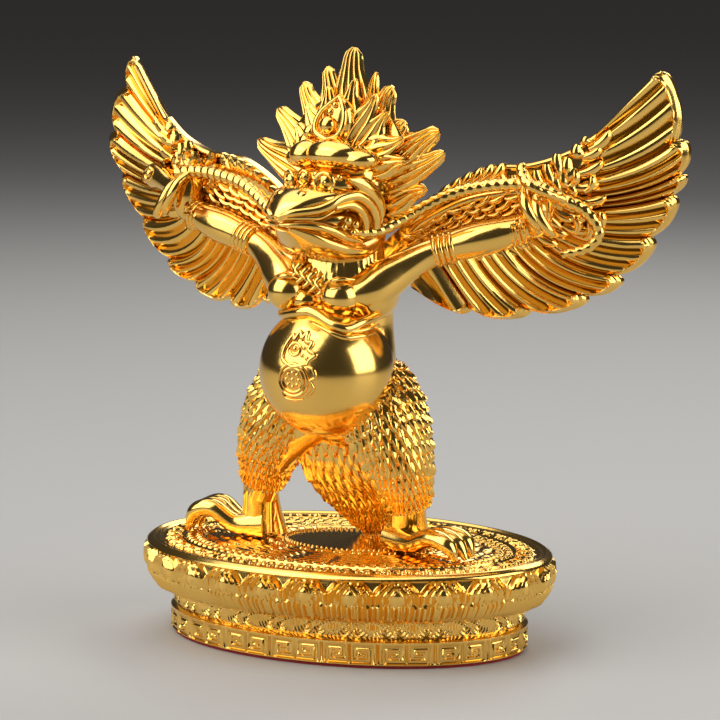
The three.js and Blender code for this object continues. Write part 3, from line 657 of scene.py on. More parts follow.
def feathered(path, widths, heights, rows, around, scale_height, steps=84):
    """A limb covered in overlapping pointed feathers, each with a midrib."""
    columns = around * 7
    places = np.linspace(0, 1, steps + 1)
    centres = spline(path, places)
    across, over = frames_along(centres, X_AXIS)
    angles = round_angles(columns)
    height = imbricate(places[:, None] * rows, angles[None] / TAU * around) * scale_height
    height = height * smooth(0, 0.06, places)[:, None]
    wide = (stations(widths, places)[:, None] + height) * np.cos(angles)
    high = (stations(heights, places)[:, None] + height) * np.sin(angles)
    return skinned(centres, across, over, wide, high)


def imbricate(down, around):
    """Height of overlapping leaf-shaped scales: rows count down, columns count around."""
    best = np.zeros(np.broadcast(down, around).shape)
    for layer in (0, 1):
        row = np.floor(down) - layer
        local_down = down - row
        offset = 0.5 * (row % 2)
        local_around = np.abs(((around + offset) % 1) - 0.5) * 2
        reach = local_down / 1.75
        outline = np.clip(1 - reach, 0, 1) ** 0.55 * 0.98
        inside = (local_around < outline) & (reach < 1)
        slope = 0.2 + 0.8 * reach
        edge = np.clip((outline - local_around) / 0.22, 0, 1)
        rib = 0.3 * np.exp(-(local_around / 0.16) ** 2)
        lift = (slope * (0.45 + 0.55 * edge) + rib * reach) * inside
        best = np.maximum(best, lift)
    return best


RIGHT_THIGH = [[-8.5, -3, 39], [-13.5, -4, 31], [-18.4, -3.4, 22], [-21.2, -2, 12.5]]
LEFT_THIGH = [[5.8, -3, 39], [11.4, -4, 31], [15.4, -3.4, 20], [17, -1.6, 9.5]]
RIGHT_SHANK = [[-21.6, -2, 16], [-22.6, -1.4, 8], [-23, -1, 1]]
LEFT_SHANK = [[16.4, -2.5, 13], [15.6, -2, 7], [15.2, -1.6, 1]]
RIGHT_SPUR = [[-21.2, -1.2, 15], [-20.9, -0.2, 8], [-20.4, 0.8, -0.5]]
LEFT_SPUR = [[17, -0.8, 13], [16.8, 0.4, 7], [16.8, 1.6, -0.5]]
INNER_THIGH = [[3, -6.6, 33.5], [-4, -7.4, 30.2], [-12, -6.4, 24.4], [-18.2, -4.2, 17], [-21.4, -2.6, 10]]
APRON = [[-3, -3, 36], [-2.4, -1.6, 27], [-2, 0, 19], [1.2, 4, 11], [2.0, 8, 5], [2.2, 11, 0.8]]


def legs():
    """Feathered thighs, bare shanks with heel spurs, a smooth inner thigh and a feathered apron."""
    solids = []
    for thigh in (RIGHT_THIGH, LEFT_THIGH):
        solids.append(feathered(thigh, [9.2, 9.3, 6.8, 4.0], [10.6, 10.6, 8.1, 4.3], 14, 28, 1.35))
    for shank in (RIGHT_SHANK, LEFT_SHANK):
        solids.append(limb(shank, [4.4, 4.0, 4.3], [4.2, 3.2, 3.4], X_AXIS, 28, 16))
    solids += [
        limb(RIGHT_SPUR, [3.6, 3.0, 4.2], [3.0, 2.4, 2.4], [0.7, 0.7, 0], 24, 16),
        limb(LEFT_SPUR, [3.6, 3.4, 4.4], [3.0, 2.4, 2.4], [0.62, 0.78, 0], 24, 16),
        rounded(INNER_THIGH, [5.4, 5.2, 4.8, 4.0, 3.4], side=AHEAD, sides=32, steps=28),
        feathered(APRON, [10, 9.4, 9.2, 8.4, 5, 1.4], [6.5, 6, 5, 4, 3, 1.4], 15, 24, 0.9),
    ]
    solids += foot([-22.6, -1.4], [-40.5, -2], 6.2)
    solids += foot([14.6, -3], [34.2, -9], 4.8)
    return solids


TOE_SPACING = 1.75


def foot(ankle, tip, arch):
    """Three toes arched side by side, each with a claw that curls down to the ground."""
    start, end = np.array([*ankle, 0.0]), np.array([*tip, 0.0])
    run = end - start
    sideways = unit(np.array([-run[1], run[0], 0.0]))
    spread = [0.6, 1.2, 1.75, 1.85, 1.7]
    heights = [2.6, 2.6, arch, arch * 0.8, 0.3]
    solids = []
    for place in (-1, 0, 1):
        shares = [-0.1, 0.3, 0.6, 0.86, 1.0 - 0.03 * abs(place)]
        path = [start + run * share + sideways * place * wide * TOE_SPACING + UP * height
                for share, wide, height in zip(shares, spread, heights)]
        solids.append(limb(path, [2.7, 2.5, 2.5, 2.2, 0.6], [3.2, 2.4, 2.2, 1.9, 0.6], sideways, 16, 24))
    return solids


def tail():
    path = [[0, 0, 50], [0, 4.6, 39], [0, 8.4, 27], [0, 11, 15], [0, 13.6, 5], [0, 14.4, -1]]
    return [feathered(path, [8, 12.2, 12.8, 9, 4.6, 1.6], [3, 4.1, 3.8, 3.0, 2.3, 1.2], 17, 18, 0.8, 88)]


# Head

def side_points(side, points):
    return [on_head(side * across, ahead, height) for across, ahead, height in points]


def lip(path, radii, sides, steps):
    return rounded(path, radii, side=HEAD_ACROSS, sides=sides, steps=steps)


def head_ball(across, ahead, height, radii, around):
    """An ellipsoid whose radii run across, along and up the head."""
    return ball(on_head(across, ahead, height), radii, around, -HEAD_TURN)


def head_beads(spots, side=1):
    """Small balls on the head, each given as across, ahead, height and radius."""
    return [bead(on_head(side * across, ahead, height), radius, 14)
            for across, ahead, height, radius in spots]


def beak():
    upper = [on_head(0, ahead, height) for ahead, height in
             ((3, 84.6), (11, 84.0), (16, 83.7), (20, 82.7), (23, 81.3), (25.2, 79.8))]
    lower = [on_head(0, ahead, height) for ahead, height in
             ((-1, 72), (4, 71.2), (10, 72), (15, 73.7), (19, 75.8), (22.4, 77.3))]
    solids = [
        limb(upper, [10.4, 9.6, 8.4, 6.3, 3.9, 1.1], [4.6, 3.4, 2.9, 2.5, 1.7, 0.7], HEAD_ACROSS, 40, 36),
        limb(lower, [8, 9, 9, 8, 5.8, 2.6], [3.6, 3.6, 3.3, 3.0, 2.0, 0.9], HEAD_ACROSS, 40, 36),
        head_ball(0, 8, 78.4, [8.6, 9, 4.6], 28),
    ]
    for across in (-3.2, 3.2):
        solids.append(ball(on_head(across, 19.6, 84.5), [1.3, 1.3, 1.0], 18))
    return solids


# Paths on the left of the head, each point given as across, ahead and height
LIP_OUTER = [[0.6, 25.0, 79.9], [3.6, 24.0, 80.9], [7.2, 19.4, 81.5], [8.9, 16.1, 82.7], [9.5, 13.5, 83.9],
             [10.3, 9, 84.2], [10.8, 5.2, 82.0], [10.8, 3.0, 78.8], [10.2, 2.4, 76.4]]
LIP_CREASE = [[0.3, 25.2, 79.3], [3, 24.0, 79.9], [5.6, 21.6, 79.9], [7.8, 18.6, 79.9], [9.2, 15.6, 81.2]]
LIP_INNER = [[9.0, 14.8, 81.8], [9.9, 10.8, 82.2], [10.4, 7.8, 80.6], [10.3, 6.2, 78.2], [10, 5.6, 76.2]]
LIP_LOWER = [[0.4, 24.2, 78.1], [3, 23.2, 78.2], [6.4, 19.9, 77.9],
             [8.4, 16, 76.8], [9.3, 11.9, 74.9], [9.4, 6.6, 73.4]]
CHEEK_BLADE = [[9.6, 11.2, 88], [10.4, 7.8, 86.9], [10.9, 4.4, 84.6], [10.8, 1.4, 81.2], [10.0, 0.9, 77.4]]
CHEEK_SEAM = [[9.6, 1.5, 91], [9.6, -4.2, 89.2], [9.0, -6.6, 85.9], [9.0, -6.8, 82], [9.2, -4.2, 78.6]]
MOUTH_BEADS = [
    [8.3, 13.0, 79.4, 1.1],
    [9.0, 11.0, 78.6, 1.2],
    [8.8, 12.0, 77.2, 0.9],
    [9.4, 8.8, 77.6, 1.1],
    [9.4, 9.6, 75.8, 0.9],
]


def cheek(side):
    """Lip folds that run from the beak's tip round the corner of the mouth, and the polished blade."""
    outer = side_points(side, LIP_OUTER)
    crease = side_points(side, LIP_CREASE)
    inner = side_points(side, LIP_INNER)
    lower = side_points(side, LIP_LOWER)
    blade = side_points(side, CHEEK_BLADE)
    solids = [
        lip(outer, [0.5, 0.8, 1.0, 1.1, 1.2, 1.4, 1.4, 1.2, 0.8], 16, 48),
        lip(crease, [0.35, 0.5, 0.55, 0.5, 0.3], 10, 28),
        lip(inner, [0.5, 1.0, 1.1, 1.0, 0.6], 14, 28),
        lip(lower, [0.4, 0.6, 0.85, 0.9, 0.9, 0.5], 14, 32),
        limb(blade, [0.8, 1.1, 1.1, 1.0, 0.7], [0.5, 1.9, 2.0, 1.3, 0.5], HEAD_ACROSS, 20, 30),
    ]
    solids += head_beads(MOUTH_BEADS, side)
    seam_line = side_points(side, CHEEK_SEAM)
    solids.append(lip(seam_line, [0.5, 0.6, 0.5], 10, 20))
    facing = HEAD_ACROSS * side
    solids += rosette(on_head(side * 8.8, 6.1, 93.8), facing + HEAD_AHEAD * 0.6 + UP * 0.4, 1.7)
    solids += rosette(on_head(side * 10.2, 2.2, 91.6), facing + UP * 0.2, 1.8)
    solids += rosette(on_head(side * 10.2, -2.2, 91.4), facing - HEAD_AHEAD * 0.2, 1.7)
    return solids


def eye(across, ahead, height, radius):
    """A ringed eye with a pupil."""
    centre = on_head(across, ahead, height)
    facing = unit(HEAD_AHEAD + HEAD_ACROSS * across * 0.06)
    sideways = unit(np.cross(facing, UP))
    angles = np.linspace(0, TAU, 25)[:-1]
    ring = (centre + facing * radius * 0.55 + sideways * (radius * 1.02 * np.cos(angles))[:, None]
            + UP * (radius * 1.02 * np.sin(angles))[:, None])
    return [
        bead(centre, radius, 24),
        closed_cord(ring, radius * 0.22),
        bead(centre + facing * radius * 0.9, radius * 0.36, 12),
    ]


BROW_BEADS = [
    [2.2, 14.0, 88.9, 0.8],
    [-2.6, 14.0, 88.6, 0.9],
    [7.4, 11.9, 88.4, 0.8],
    [-8.0, 11.3, 88.0, 1.0],
    [0.2, 15.2, 86.2, 0.9],
]


def eyes():
    """Two ringed eyes, a third between them and the beads round them."""
    solids = eye(5.0, 13.6, 87.4, 2.1) + eye(-5.4, 13.4, 87.2, 2.0) + eye(-0.3, 14.8, 88.2, 1.5)
    return solids + head_beads(BROW_BEADS)


def skull():
    """The head's round mass, finely ribbed at the sides, and its smooth brow cushions."""
    rows, around = 60, 100
    polar = np.linspace(0.02, math.pi - 0.02, rows + 1)[:, None]
    angles = round_angles(around)
    lengths = np.array([11.0, 11.0, 10.6])
    level = np.cos(polar) * np.ones(around)
    spots = np.stack([np.sin(polar) * np.cos(angles), np.sin(polar) * np.sin(angles), level], -1)
    ribs = 0.16 * np.sin(TAU * (spots[..., 2] * lengths[2] + 0.5 * np.sin(angles * 9)) / 1.0)
    spots = spots * (lengths + (ribs * smooth(0.5, 0.3, spots[..., 1]))[..., None])
    middle = on_head(0, 0.5, 86)
    mass = middle + HEAD_ACROSS * spots[..., :1] + HEAD_AHEAD * spots[..., 1:2] + UP * spots[..., 2:]
    return [
        tube(mass),
        head_ball(-4.6, 8.6, 92.9, [4.4, 5.2, 3.5], 32),
        head_ball(2.8, 8.7, 93.2, [7.0, 5.6, 3.7], 40),
        head_ball(8.4, 6.6, 92.2, [5.2, 4.6, 2.6], 32),
        head_ball(-8.9, 6.6, 91.8, [3.6, 4.0, 2.4], 28),
        ball(on_head(-9.2, 4.2, 95.4), [2.2, 2.4, 2.0], 20),
        ball(on_head(-7.4, 5.0, 97.6), [1.9, 2.2, 1.8], 20),
        head_ball(0, 8.6, 86.4, [9.4, 6.6, 4.2], 32),
    ]


# Crown

# Each flame: foot across, foot height, tip across, tip height, half width, half width at the tip
CROWN_BACK = [
    [-1.5, 92, -0.8, 117.0, 6.4, 2.8],
    [2.5, 93, 5.3, 111.6, 3.2, 1.0],
    [3, 90, 10.8, 108.4, 5.4, 2.2],
    [4, 90, 14.0, 100.9, 5.0, 2.4],
    [5, 87, 24.6, 98.6, 4.9, 2.1],
    [5, 84, 25.8, 94.4, 4.4, 1.8],
    [5, 81, 20.8, 85.2, 4.0, 1.5],
    [-4, 92, -9.8, 112.2, 4.6, 1.9],
    [-6, 90, -16.6, 108.6, 4.9, 2.1],
    [-8, 87, -25.6, 101.6, 5.3, 2.1],
    [-9, 84, -31.6, 94.4, 5.0, 2.0],
    [-8, 80, -24, 86.4, 4.2, 1.6],
]
CROWN_FRONT = [
    [0, 94, 2.6, 110.0, 3.8, 1.0],
    [2.5, 94, 8.4, 107.0, 3.4, 1.0],
    [4, 93, 12.6, 102.6, 3.6, 1.0],
    [5, 92, 16.4, 97.4, 3.6, 1.1],
    [6, 90, 17.6, 91.6, 3.4, 1.0],
    [-4, 94, -6.6, 108.0, 3.6, 1.1],
    [-6, 93, -12.0, 104.0, 3.8, 1.2],
    [-8, 91, -16.4, 98.6, 3.6, 1.2],
    [0, 94, -2.2, 106.4, 3.4, 1.2],
]
FLAME_SWAY = 0.5
ALMOND_RIGHT = [[-0.4, 96.4], [-3.6, 97.6], [-4.4, 99.8], [-3.4, 102.4], [-1.2, 104.4], [1.2, 106.2]]
ALMOND_LEFT = [[-0.4, 96.4], [2.8, 97.4], [4.0, 99.6], [3.8, 102.4], [2.6, 104.6], [1.2, 106.2]]


def flame(foot_point, tip_point, half_width, tip_half_width, thickness, ridges, sway):
    """A flame: a tongue of parallel strands that narrows to a blunt, slightly swayed tip."""
    foot_point, tip_point = np.asarray(foot_point), np.asarray(tip_point)
    run = tip_point - foot_point
    place = np.linspace(0, 1, 21)
    sideways = unit(np.cross(run, HEAD_AHEAD))
    centres = foot_point + run * place[:, None] + sideways * (sway * np.sin(TAU * place * 0.9))[:, None]
    body = half_width * (0.8 + 0.2 * np.sin(math.pi * np.minimum(place / 0.8, 1)))
    narrow = smooth(0.5, 1.0, place)
    blunt = np.sqrt(np.clip(1 - (np.maximum(place - 0.9, 0) / 0.104) ** 2, 0, 1))
    widths = np.maximum((body * (1 - narrow) + tip_half_width * narrow) * blunt, 0.15)
    height = np.maximum(thickness * (1 - 0.5 * place) * blunt, 0.1)
    return leaf(centres, sideways, widths, height, height * 0.9, ridges, lanes=8 * ridges + 1, groove=0.5)


def crown():
    """A fan of flames behind the head, and a shorter fan before it round the jewel."""
    solids = [head_ball(-2.0, -1.6, 91.5, [18, 2.2, 14.6], 60)]
    for i, (foot_across, foot_height, across, height, half_width, tip_width) in enumerate(CROWN_BACK):
        ridges = 5 if half_width > 4.8 else 4
        ends = (on_head(foot_across, -1, foot_height), on_head(across, -3, height))
        solids.append(flame(*ends, half_width, tip_width, 2.3, ridges, FLAME_SWAY * (-1) ** i))
    for i, (foot_across, foot_height, across, height, half_width, tip_width) in enumerate(CROWN_FRONT):
        ends = (on_head(foot_across, 3.6, foot_height), on_head(across, 0.2, height))
        solids.append(flame(*ends, half_width, tip_width, 1.9, 3, FLAME_SWAY * (-1) ** i))
    for edge in (ALMOND_RIGHT, ALMOND_LEFT):
        path = [on_head(across, 7.6 - 0.26 * (height - 97), height) for across, height in edge]
        solids.append(rounded(path, [0.7, 0.75, 0.75, 0.7, 0.6, 0.4], HEAD_AHEAD, 12, 28))
    solids.append(ball(on_head(-0.2, 7.0, 99.6), [2.2, 2.4, 2.2], 28))
    solids.append(ball(on_head(-0.2, 6.2, 102.6), [1.0, 1.2, 1.0], 14))
    solids.append(ball(on_head(0.8, 5.8, 104.2), [0.8, 1.0, 0.8], 12))
    solids.append(head_ball(-0.1, 3.4, 100.2, [4.3, 3.4, 5.8], 32))
    return solids


# Plinth: drums whose relief is worked out from patterns that repeat round an ellipse.
# Here heights are counted from the plinth's underside.

PLINTH_HEIGHT = PLINTH_TOP - PLINTH_BOTTOM
KEY_BAND_HEIGHT = 5.4
KEY_BAND_INSET = 6.8
KEY_COUNT = 36
LEDGE_HEIGHT = 0.7
FRIEZE_HEIGHT = 4.6
FRIEZE_INSET = 7.6
PETAL_COUNT = 25
PETAL_PHASE = 0.7
PETAL_PITCH = 11.1
PETAL_COLUMNS = 32
PETAL_BAND = 10.1
FRIEZE_COLUMNS = 52
KEY_PITCH = 6.65
KEY_COLUMNS = 26
KEY_RELIEF = 0.42
SEAM_NOTCH = 7
SHOULDER_DROP = 1.4
FIELD_SINK = 0.62
OVAL_MIDDLE = 4.5
OVAL_HALF_LENGTH = 17
OVAL_HALF_DEPTH = 11.5
OVAL_MEAN_RADIUS = 13
DISC_INSET = 14.6


def ellipse_angles(places):
    """Angles round the plinth that stand at equal steps along its edge; places run 0 to 1."""
    fine = np.linspace(0, TAU, 4001)
    steps = np.hypot(np.diff(PLINTH_HALF_LENGTH * np.cos(fine)), np.diff(PLINTH_HALF_DEPTH * np.sin(fine)))
    run = np.concatenate([[0], np.cumsum(steps)])
    return np.interp(np.asarray(places) % 1.0001 * run[-1], run, fine)


def petal_places(columns_each):
    """Places round the plinth, counted in petals, and their angles."""
    q = np.arange(PETAL_COUNT * columns_each) / columns_each
    return q, ellipse_angles((q + PETAL_PHASE) / PETAL_COUNT)


def ellipse_spots(angles, inset, height):
    """Points at an inset from the plinth's outline, for grids of rows and columns."""
    x = (PLINTH_HALF_LENGTH - inset) * np.cos(angles)
    y = (PLINTH_HALF_DEPTH - inset) * np.sin(angles)
    return np.stack([x, y, np.broadcast_to(height, x.shape)], -1)


def seam(q):
    """The casting's parting line, a low fin at one notch between petals."""
    return 0.22 * ridge((q - SEAM_NOTCH) * 11, 0.25)


def petal_relief(q, z):
    """How far the petals stand out: pointed tips with double outlines, an oval boss, ribs below."""
    from_notch = np.abs(q - np.round(q)) * PETAL_PITCH
    from_middle = PETAL_PITCH / 2 - from_notch
    slope = np.where(z > 7, 0, (7 - z) / 7)
    edge = (from_notch * 3.1 - np.clip(z - 7, 0, 9) * 2.75) / 4.14 * (1 + 0.3 * slope)
    recess = smooth(0.05, -0.25, edge) * smooth(6.6, 7.0, z) * smooth(10.0, 9.7, z)
    upper = smooth(3.2, 5.2, z)
    outlines = ridge(edge - 0.5, 0.4) + 0.95 * ridge(edge - 1.8, 0.4) + 0.7 * ridge(edge - 3.1, 0.4)
    outlines = outlines * upper * smooth(9.9, 9.2, z)
    boss = 0.7 * np.sqrt(np.clip(1 - (from_middle / 1.4) ** 2 - ((z - 5.9) / 2.2) ** 2, 0, 1))
    ribs = np.abs(np.sin(math.pi * from_middle / 1.23)) * 0.95 * smooth(5.4, 3.4, z)
    ragged = 0.25 * np.sin(q * 61.7) * smooth(1.0, 0.2, z)
    return np.maximum(np.maximum(outlines, boss), ribs) + ragged - 0.5 * recess


def petal_drum():
    """The wide upper part: petals round the wall, the shoulder, the rim and the field's outer ring."""
    q, angles = petal_places(PETAL_COLUMNS)
    columns = len(q)
    rows = 30
    low = KEY_BAND_HEIGHT + LEDGE_HEIGHT + FRIEZE_HEIGHT
    tall = PLINTH_HEIGHT - SHOULDER_DROP - low
    share = np.linspace(0, 1, rows)[:, None]
    profile = np.interp(share, [0, 0.12, 0.3, 0.5, 0.72, 0.9, 1], [3.8, 2.6, 1.5, 0.75, 0.5, 0.75, 1.0])
    relief = petal_relief(q[None], share * PETAL_BAND) + seam(q)
    inset = np.maximum(profile + 0.85 - relief * 1.25, 0.01)
    wall = ellipse_spots(angles[None], inset, low + share * tall)
    tucked = ellipse_spots(angles[None], np.full((1, columns), 9.0), low - 0.3)
    shoulder_share = np.linspace(0.12, 1, 7)[:, None] * np.ones(columns)
    shoulder_inset = 1.0 + 1.1 * shoulder_share**2
    shoulder_height = low + tall + (SHOULDER_DROP - 0.15) * shoulder_share ** 0.8
    shoulder = ellipse_spots(angles[None], shoulder_inset, shoulder_height)
    inside = np.array([2.35, 2.75, 3.1, 3.4, 3.75, 4.1, 4.5])[:, None] * np.ones(columns)
    levels = np.array([0.0, -0.05, -0.45, -0.5, -0.3, -0.3, -FIELD_SINK])[:, None]
    rim = ellipse_spots(angles[None], inside, PLINTH_HEIGHT + levels)
    deep = np.linspace(4.8, 15, 26)[:, None] * np.ones(columns)
    flat = ellipse_spots(angles[None], deep, 0.0)
    raised = field_relief(flat[..., 0], flat[..., 1], q[None] * np.ones_like(deep), deep)
    flat[..., 2] = PLINTH_HEIGHT - FIELD_SINK + raised
    return tube(np.concatenate([tucked, wall, shoulder, rim, flat]))


def field_relief(x, y, q, inset):
    """Scrollwork on the plinth's top: waves with beads, then cloud curls at the two ends."""
    from_oval = oval_distance(x, y)
    s = (2 * q) % 1 - 0.5
    r = inset - 5.2
    wave = ridge(r - 2.1 - 1.3 * np.sin(TAU * s), 0.6)
    beads = ridge(np.hypot((s - 0.25) * 5.5, r - 1.1), 0.7) + ridge(np.hypot((s + 0.25) * 5.5, r - 3.1), 0.7)
    border = ridge(r - 4.7, 0.35)
    band = np.clip(wave + beads, 0, 1) * smooth(-0.6, 0.1, r) * smooth(5, 4.2, r) + border
    cloud_rows = np.abs(np.sin(math.pi * (inset - 10.4) / 2.3)) ** 0.6
    shift = 0.5 * (np.floor((inset - 10.4) / 2.3) % 2)
    curls = np.abs(np.sin(math.pi * (q * 3.5 + shift))) ** 0.7
    clouds = cloud_rows * curls * smooth(5.4, 6.2, from_oval) * smooth(10.2, 10.8, inset)
    return (FIELD_SINK - 0.02) * smooth(0.3, 0.75, band * smooth(10.4, 9.9, inset) + clouds)


def oval_distance(x, y):
    """About how far a spot lies outside the smooth oval in the middle of the top."""
    return (np.hypot(x / OVAL_HALF_LENGTH, (y - OVAL_MIDDLE) / OVAL_HALF_DEPTH) - 1) * OVAL_MEAN_RADIUS


def top_disc():
    """The inner part of the top: the sunk oval and the crescents round it."""
    columns = 300
    angles = round_angles(columns)
    reach = np.concatenate([[0.02], np.linspace(0.06, 1, 46)])[:, None]
    x = (PLINTH_HALF_LENGTH - DISC_INSET) * np.cos(angles) * reach
    y = (PLINTH_HALF_DEPTH - DISC_INSET) * np.sin(angles) * reach + OVAL_MIDDLE * (1 - reach) * 0.9
    from_oval = oval_distance(x, y)
    around = np.arctan2((y - OVAL_MIDDLE) / OVAL_HALF_DEPTH, x / OVAL_HALF_LENGTH) / TAU
    sunk = -0.55 * smooth(-0.3, -0.8, from_oval)
    crescent = ridge(from_oval - 2.0 - 0.6 * np.abs(np.sin(math.pi * 28 * around)), 0.45) * 0.5
    border = 0.4 * ridge(from_oval - 5.4, 0.4)
    curls = np.abs(np.sin(math.pi * (from_oval - 6.2) / 2.4) * np.sin(math.pi * 22 * around))
    clouds = 0.4 * smooth(0.25, 0.6, curls) * smooth(6.2, 6.6, from_oval)
    top = PLINTH_HEIGHT - FIELD_SINK + sunk + crescent + border + clouds
    grid = np.stack([x, y, top], -1)
    under = np.stack([x[-1], y[-1], np.full(columns, PLINTH_HEIGHT - 3)], -1)[None]
    return tube(np.concatenate([grid, under]))


def oval_beads():
    """A ring of single beads at the sunk oval's edge and a ring of paired beads round it."""
    solids = []
    for distance, count, pairs, size in ((0.35, 82, False, 0.42), (3.9, 30, True, 0.58)):
        for i in range(count):
            spots = (-0.16, 0.16) if pairs else (0,)
            for offset in spots:
                angle = TAU * (i + offset) / count
                stretch = 1 + distance / OVAL_MEAN_RADIUS
                x = OVAL_HALF_LENGTH * stretch * math.cos(angle)
                y = OVAL_MIDDLE + OVAL_HALF_DEPTH * stretch * math.sin(angle)
                centre = [x, y, PLINTH_HEIGHT - FIELD_SINK]
                solids.append(ball(centre, [size, size, FIELD_SINK - 0.03], 8))
    return solids


def frieze_drum():
    """The waist: two nests of rings under each petal."""
    q, angles = petal_places(FRIEZE_COLUMNS)
    columns = len(q)
    rows = 22
    share = np.linspace(0, 1, rows)[:, None]
    along = (q - np.round(q)) * PETAL_PITCH
    reach = np.hypot(np.abs(along) - 3.6, (share - 0.5) * FRIEZE_HEIGHT)
    rings = 0.34 * (0.5 + 0.5 * np.cos(TAU * reach / 0.92)) * smooth(0, 0.08, share) * smooth(1, 0.92, share)
    inset = FRIEZE_INSET + 0.3 - rings - seam(q)
    low = KEY_BAND_HEIGHT + LEDGE_HEIGHT
    wall = ellipse_spots(angles[None], inset, low + share * (FRIEZE_HEIGHT + 0.4))
    foot_ring = ellipse_spots(angles[None], np.full((1, columns), FRIEZE_INSET + 0.1), low - 0.5)
    return tube(np.concatenate([foot_ring, wall]))


KEY_SPIRAL = [(-2.7, 0.7), (-2.7, 4.8), (2.7, 4.8), (2.7, 1.0), (-1.3, 1.0),
              (-1.3, 3.5), (1.4, 3.5), (1.4, 2.3), (0, 2.3)]


def meander_distance(u, v):
    """Distance to the square spiral of one key unit; u from -3.3 to 3.3 and v from 0 to 5.4."""
    nearest = np.full(np.broadcast(u, v).shape, np.inf)
    for (ax, ay), (bx, by) in zip(KEY_SPIRAL, KEY_SPIRAL[1:]):
        length = math.hypot(bx - ax, by - ay)
        dx, dy = (bx - ax) / length, (by - ay) / length
        run = np.clip((u - ax) * dx + (v - ay) * dy, 0, length)
        nearest = np.minimum(nearest, np.maximum(np.abs(u - ax - run * dx), np.abs(v - ay - run * dy)))
    return nearest


def key_drum():
    """The foot: a band of square spirals, and the ledge over it."""
    columns = KEY_COUNT * KEY_COLUMNS
    place = np.arange(columns) / KEY_COLUMNS
    angles = ellipse_angles(place / KEY_COUNT)
    middle_heights = np.linspace(0.4, KEY_BAND_HEIGHT - 0.35, 17)
    heights = np.concatenate([[0, 0.2], middle_heights, [KEY_BAND_HEIGHT - 0.1]])[:, None]
    along = (place % 1 - 0.5) * KEY_PITCH
    flip = np.where(np.floor(place) % 2 == 0, 1, -1)
    spiral = smooth(0.42, 0.26, meander_distance(along * flip, heights))
    bar = smooth(0.28, 0.14, np.abs(np.abs(along) - 3.32))
    rails = smooth(0.35, 0.2, heights) + smooth(KEY_BAND_HEIGHT - 0.45, KEY_BAND_HEIGHT - 0.3, heights)
    relief = KEY_RELIEF * np.clip(spiral + bar + rails, 0, 1)
    wall = ellipse_spots(angles[None], KEY_BAND_INSET + KEY_RELIEF - relief, heights)
    ledge_inset = np.array([[KEY_BAND_INSET + 0.3], [FRIEZE_INSET + 0.15]]) + np.zeros(columns)
    ledge_height = np.array([[KEY_BAND_HEIGHT], [KEY_BAND_HEIGHT + LEDGE_HEIGHT]])
    ledge = ellipse_spots(angles[None], ledge_inset, ledge_height)
    return tube(np.concatenate([wall, ledge]))


def plinth_solids():
    return [petal_drum(), frieze_drum(), key_drum(), top_disc()] + oval_beads()


# Joining and finishing

def to_object(name, solid, level):
    points, quads, triangles = solid
    mesh = bpy.data.meshes.new(name)
    placed = (points + [0, 0, level]) * MM
    mesh.from_pydata(placed.tolist(), [], quads.tolist() + triangles.tolist())
    return bpy.data.objects.new(name, mesh)


def apply_modifiers(pieces):
    """Puts each piece's modified mesh in the place of its own."""
    depsgraph = bpy.context.evaluated_depsgraph_get()
    meshes = [bpy.data.meshes.new_from_object(piece.evaluated_get(depsgraph)) for piece in pieces]
    for piece, mesh in zip(pieces, meshes):
        piece.modifiers.clear()
        piece.data = mesh


def combine(piece, other, operation):
    modifier = piece.modifiers.new("combine", "BOOLEAN")
    modifier.operation = operation
    modifier.solver = "MANIFOLD"
    modifier.object = other


def join_solids(name, solids, level):
    """Joins closed solids into one closed mesh, pair by pair."""
    scratch = bpy.data.collections.new("joining")
    bpy.context.scene.collection.children.link(scratch)
    objects = [to_object(name, solid, level) for solid in solids]
    for item in objects:
        scratch.objects.link(item)
    while len(objects) > 1:
        kept = objects[::2]
        eaten = objects[1::2]
        for item, other in zip(kept, eaten):
            combine(item, other, "UNION")
        apply_modifiers(kept)
        for item in eaten:
            bpy.data.objects.remove(item)
        objects = kept
    whole = objects[0]
    scratch.objects.unlink(whole)
    bpy.data.collections.remove(scratch)
    bpy.context.scene.collection.objects.link(whole)
    whole.name = name
    whole.data.name = name
    return whole


CUTTER_WIDTH = 200
CUTTER_HEIGHT = 40


def cut_flat(piece, level):
    """Cuts away what reaches below a level."""
    mesh = box_mesh(CUTTER_WIDTH, CUTTER_WIDTH, CUTTER_HEIGHT, level - CUTTER_HEIGHT / 2)
    block = bpy.data.objects.new("cutter", mesh)
    bpy.context.scene.collection.objects.link(block)
    combine(piece, block, "DIFFERENCE")
    apply_modifiers([piece])
    bpy.data.objects.remove(block)


def box_mesh(length, depth, height, middle):
    x, y, z = length / 2, depth / 2, height / 2
    floor = [(-x, -y, -z), (x, -y, -z), (x, y, -z), (-x, y, -z)]
    corners = floor + [(a, b, z) for a, b, c in floor]
    faces = [(0, 3, 2, 1), (4, 5, 6, 7), (0, 1, 5, 4), (1, 2, 6, 5), (2, 3, 7, 6), (3, 0, 4, 7)]
    mesh = bpy.data.meshes.new("cutter")
    mesh.from_pydata([(a * MM, b * MM, (c + middle) * MM) for a, b, c in corners], [], faces)
    return mesh


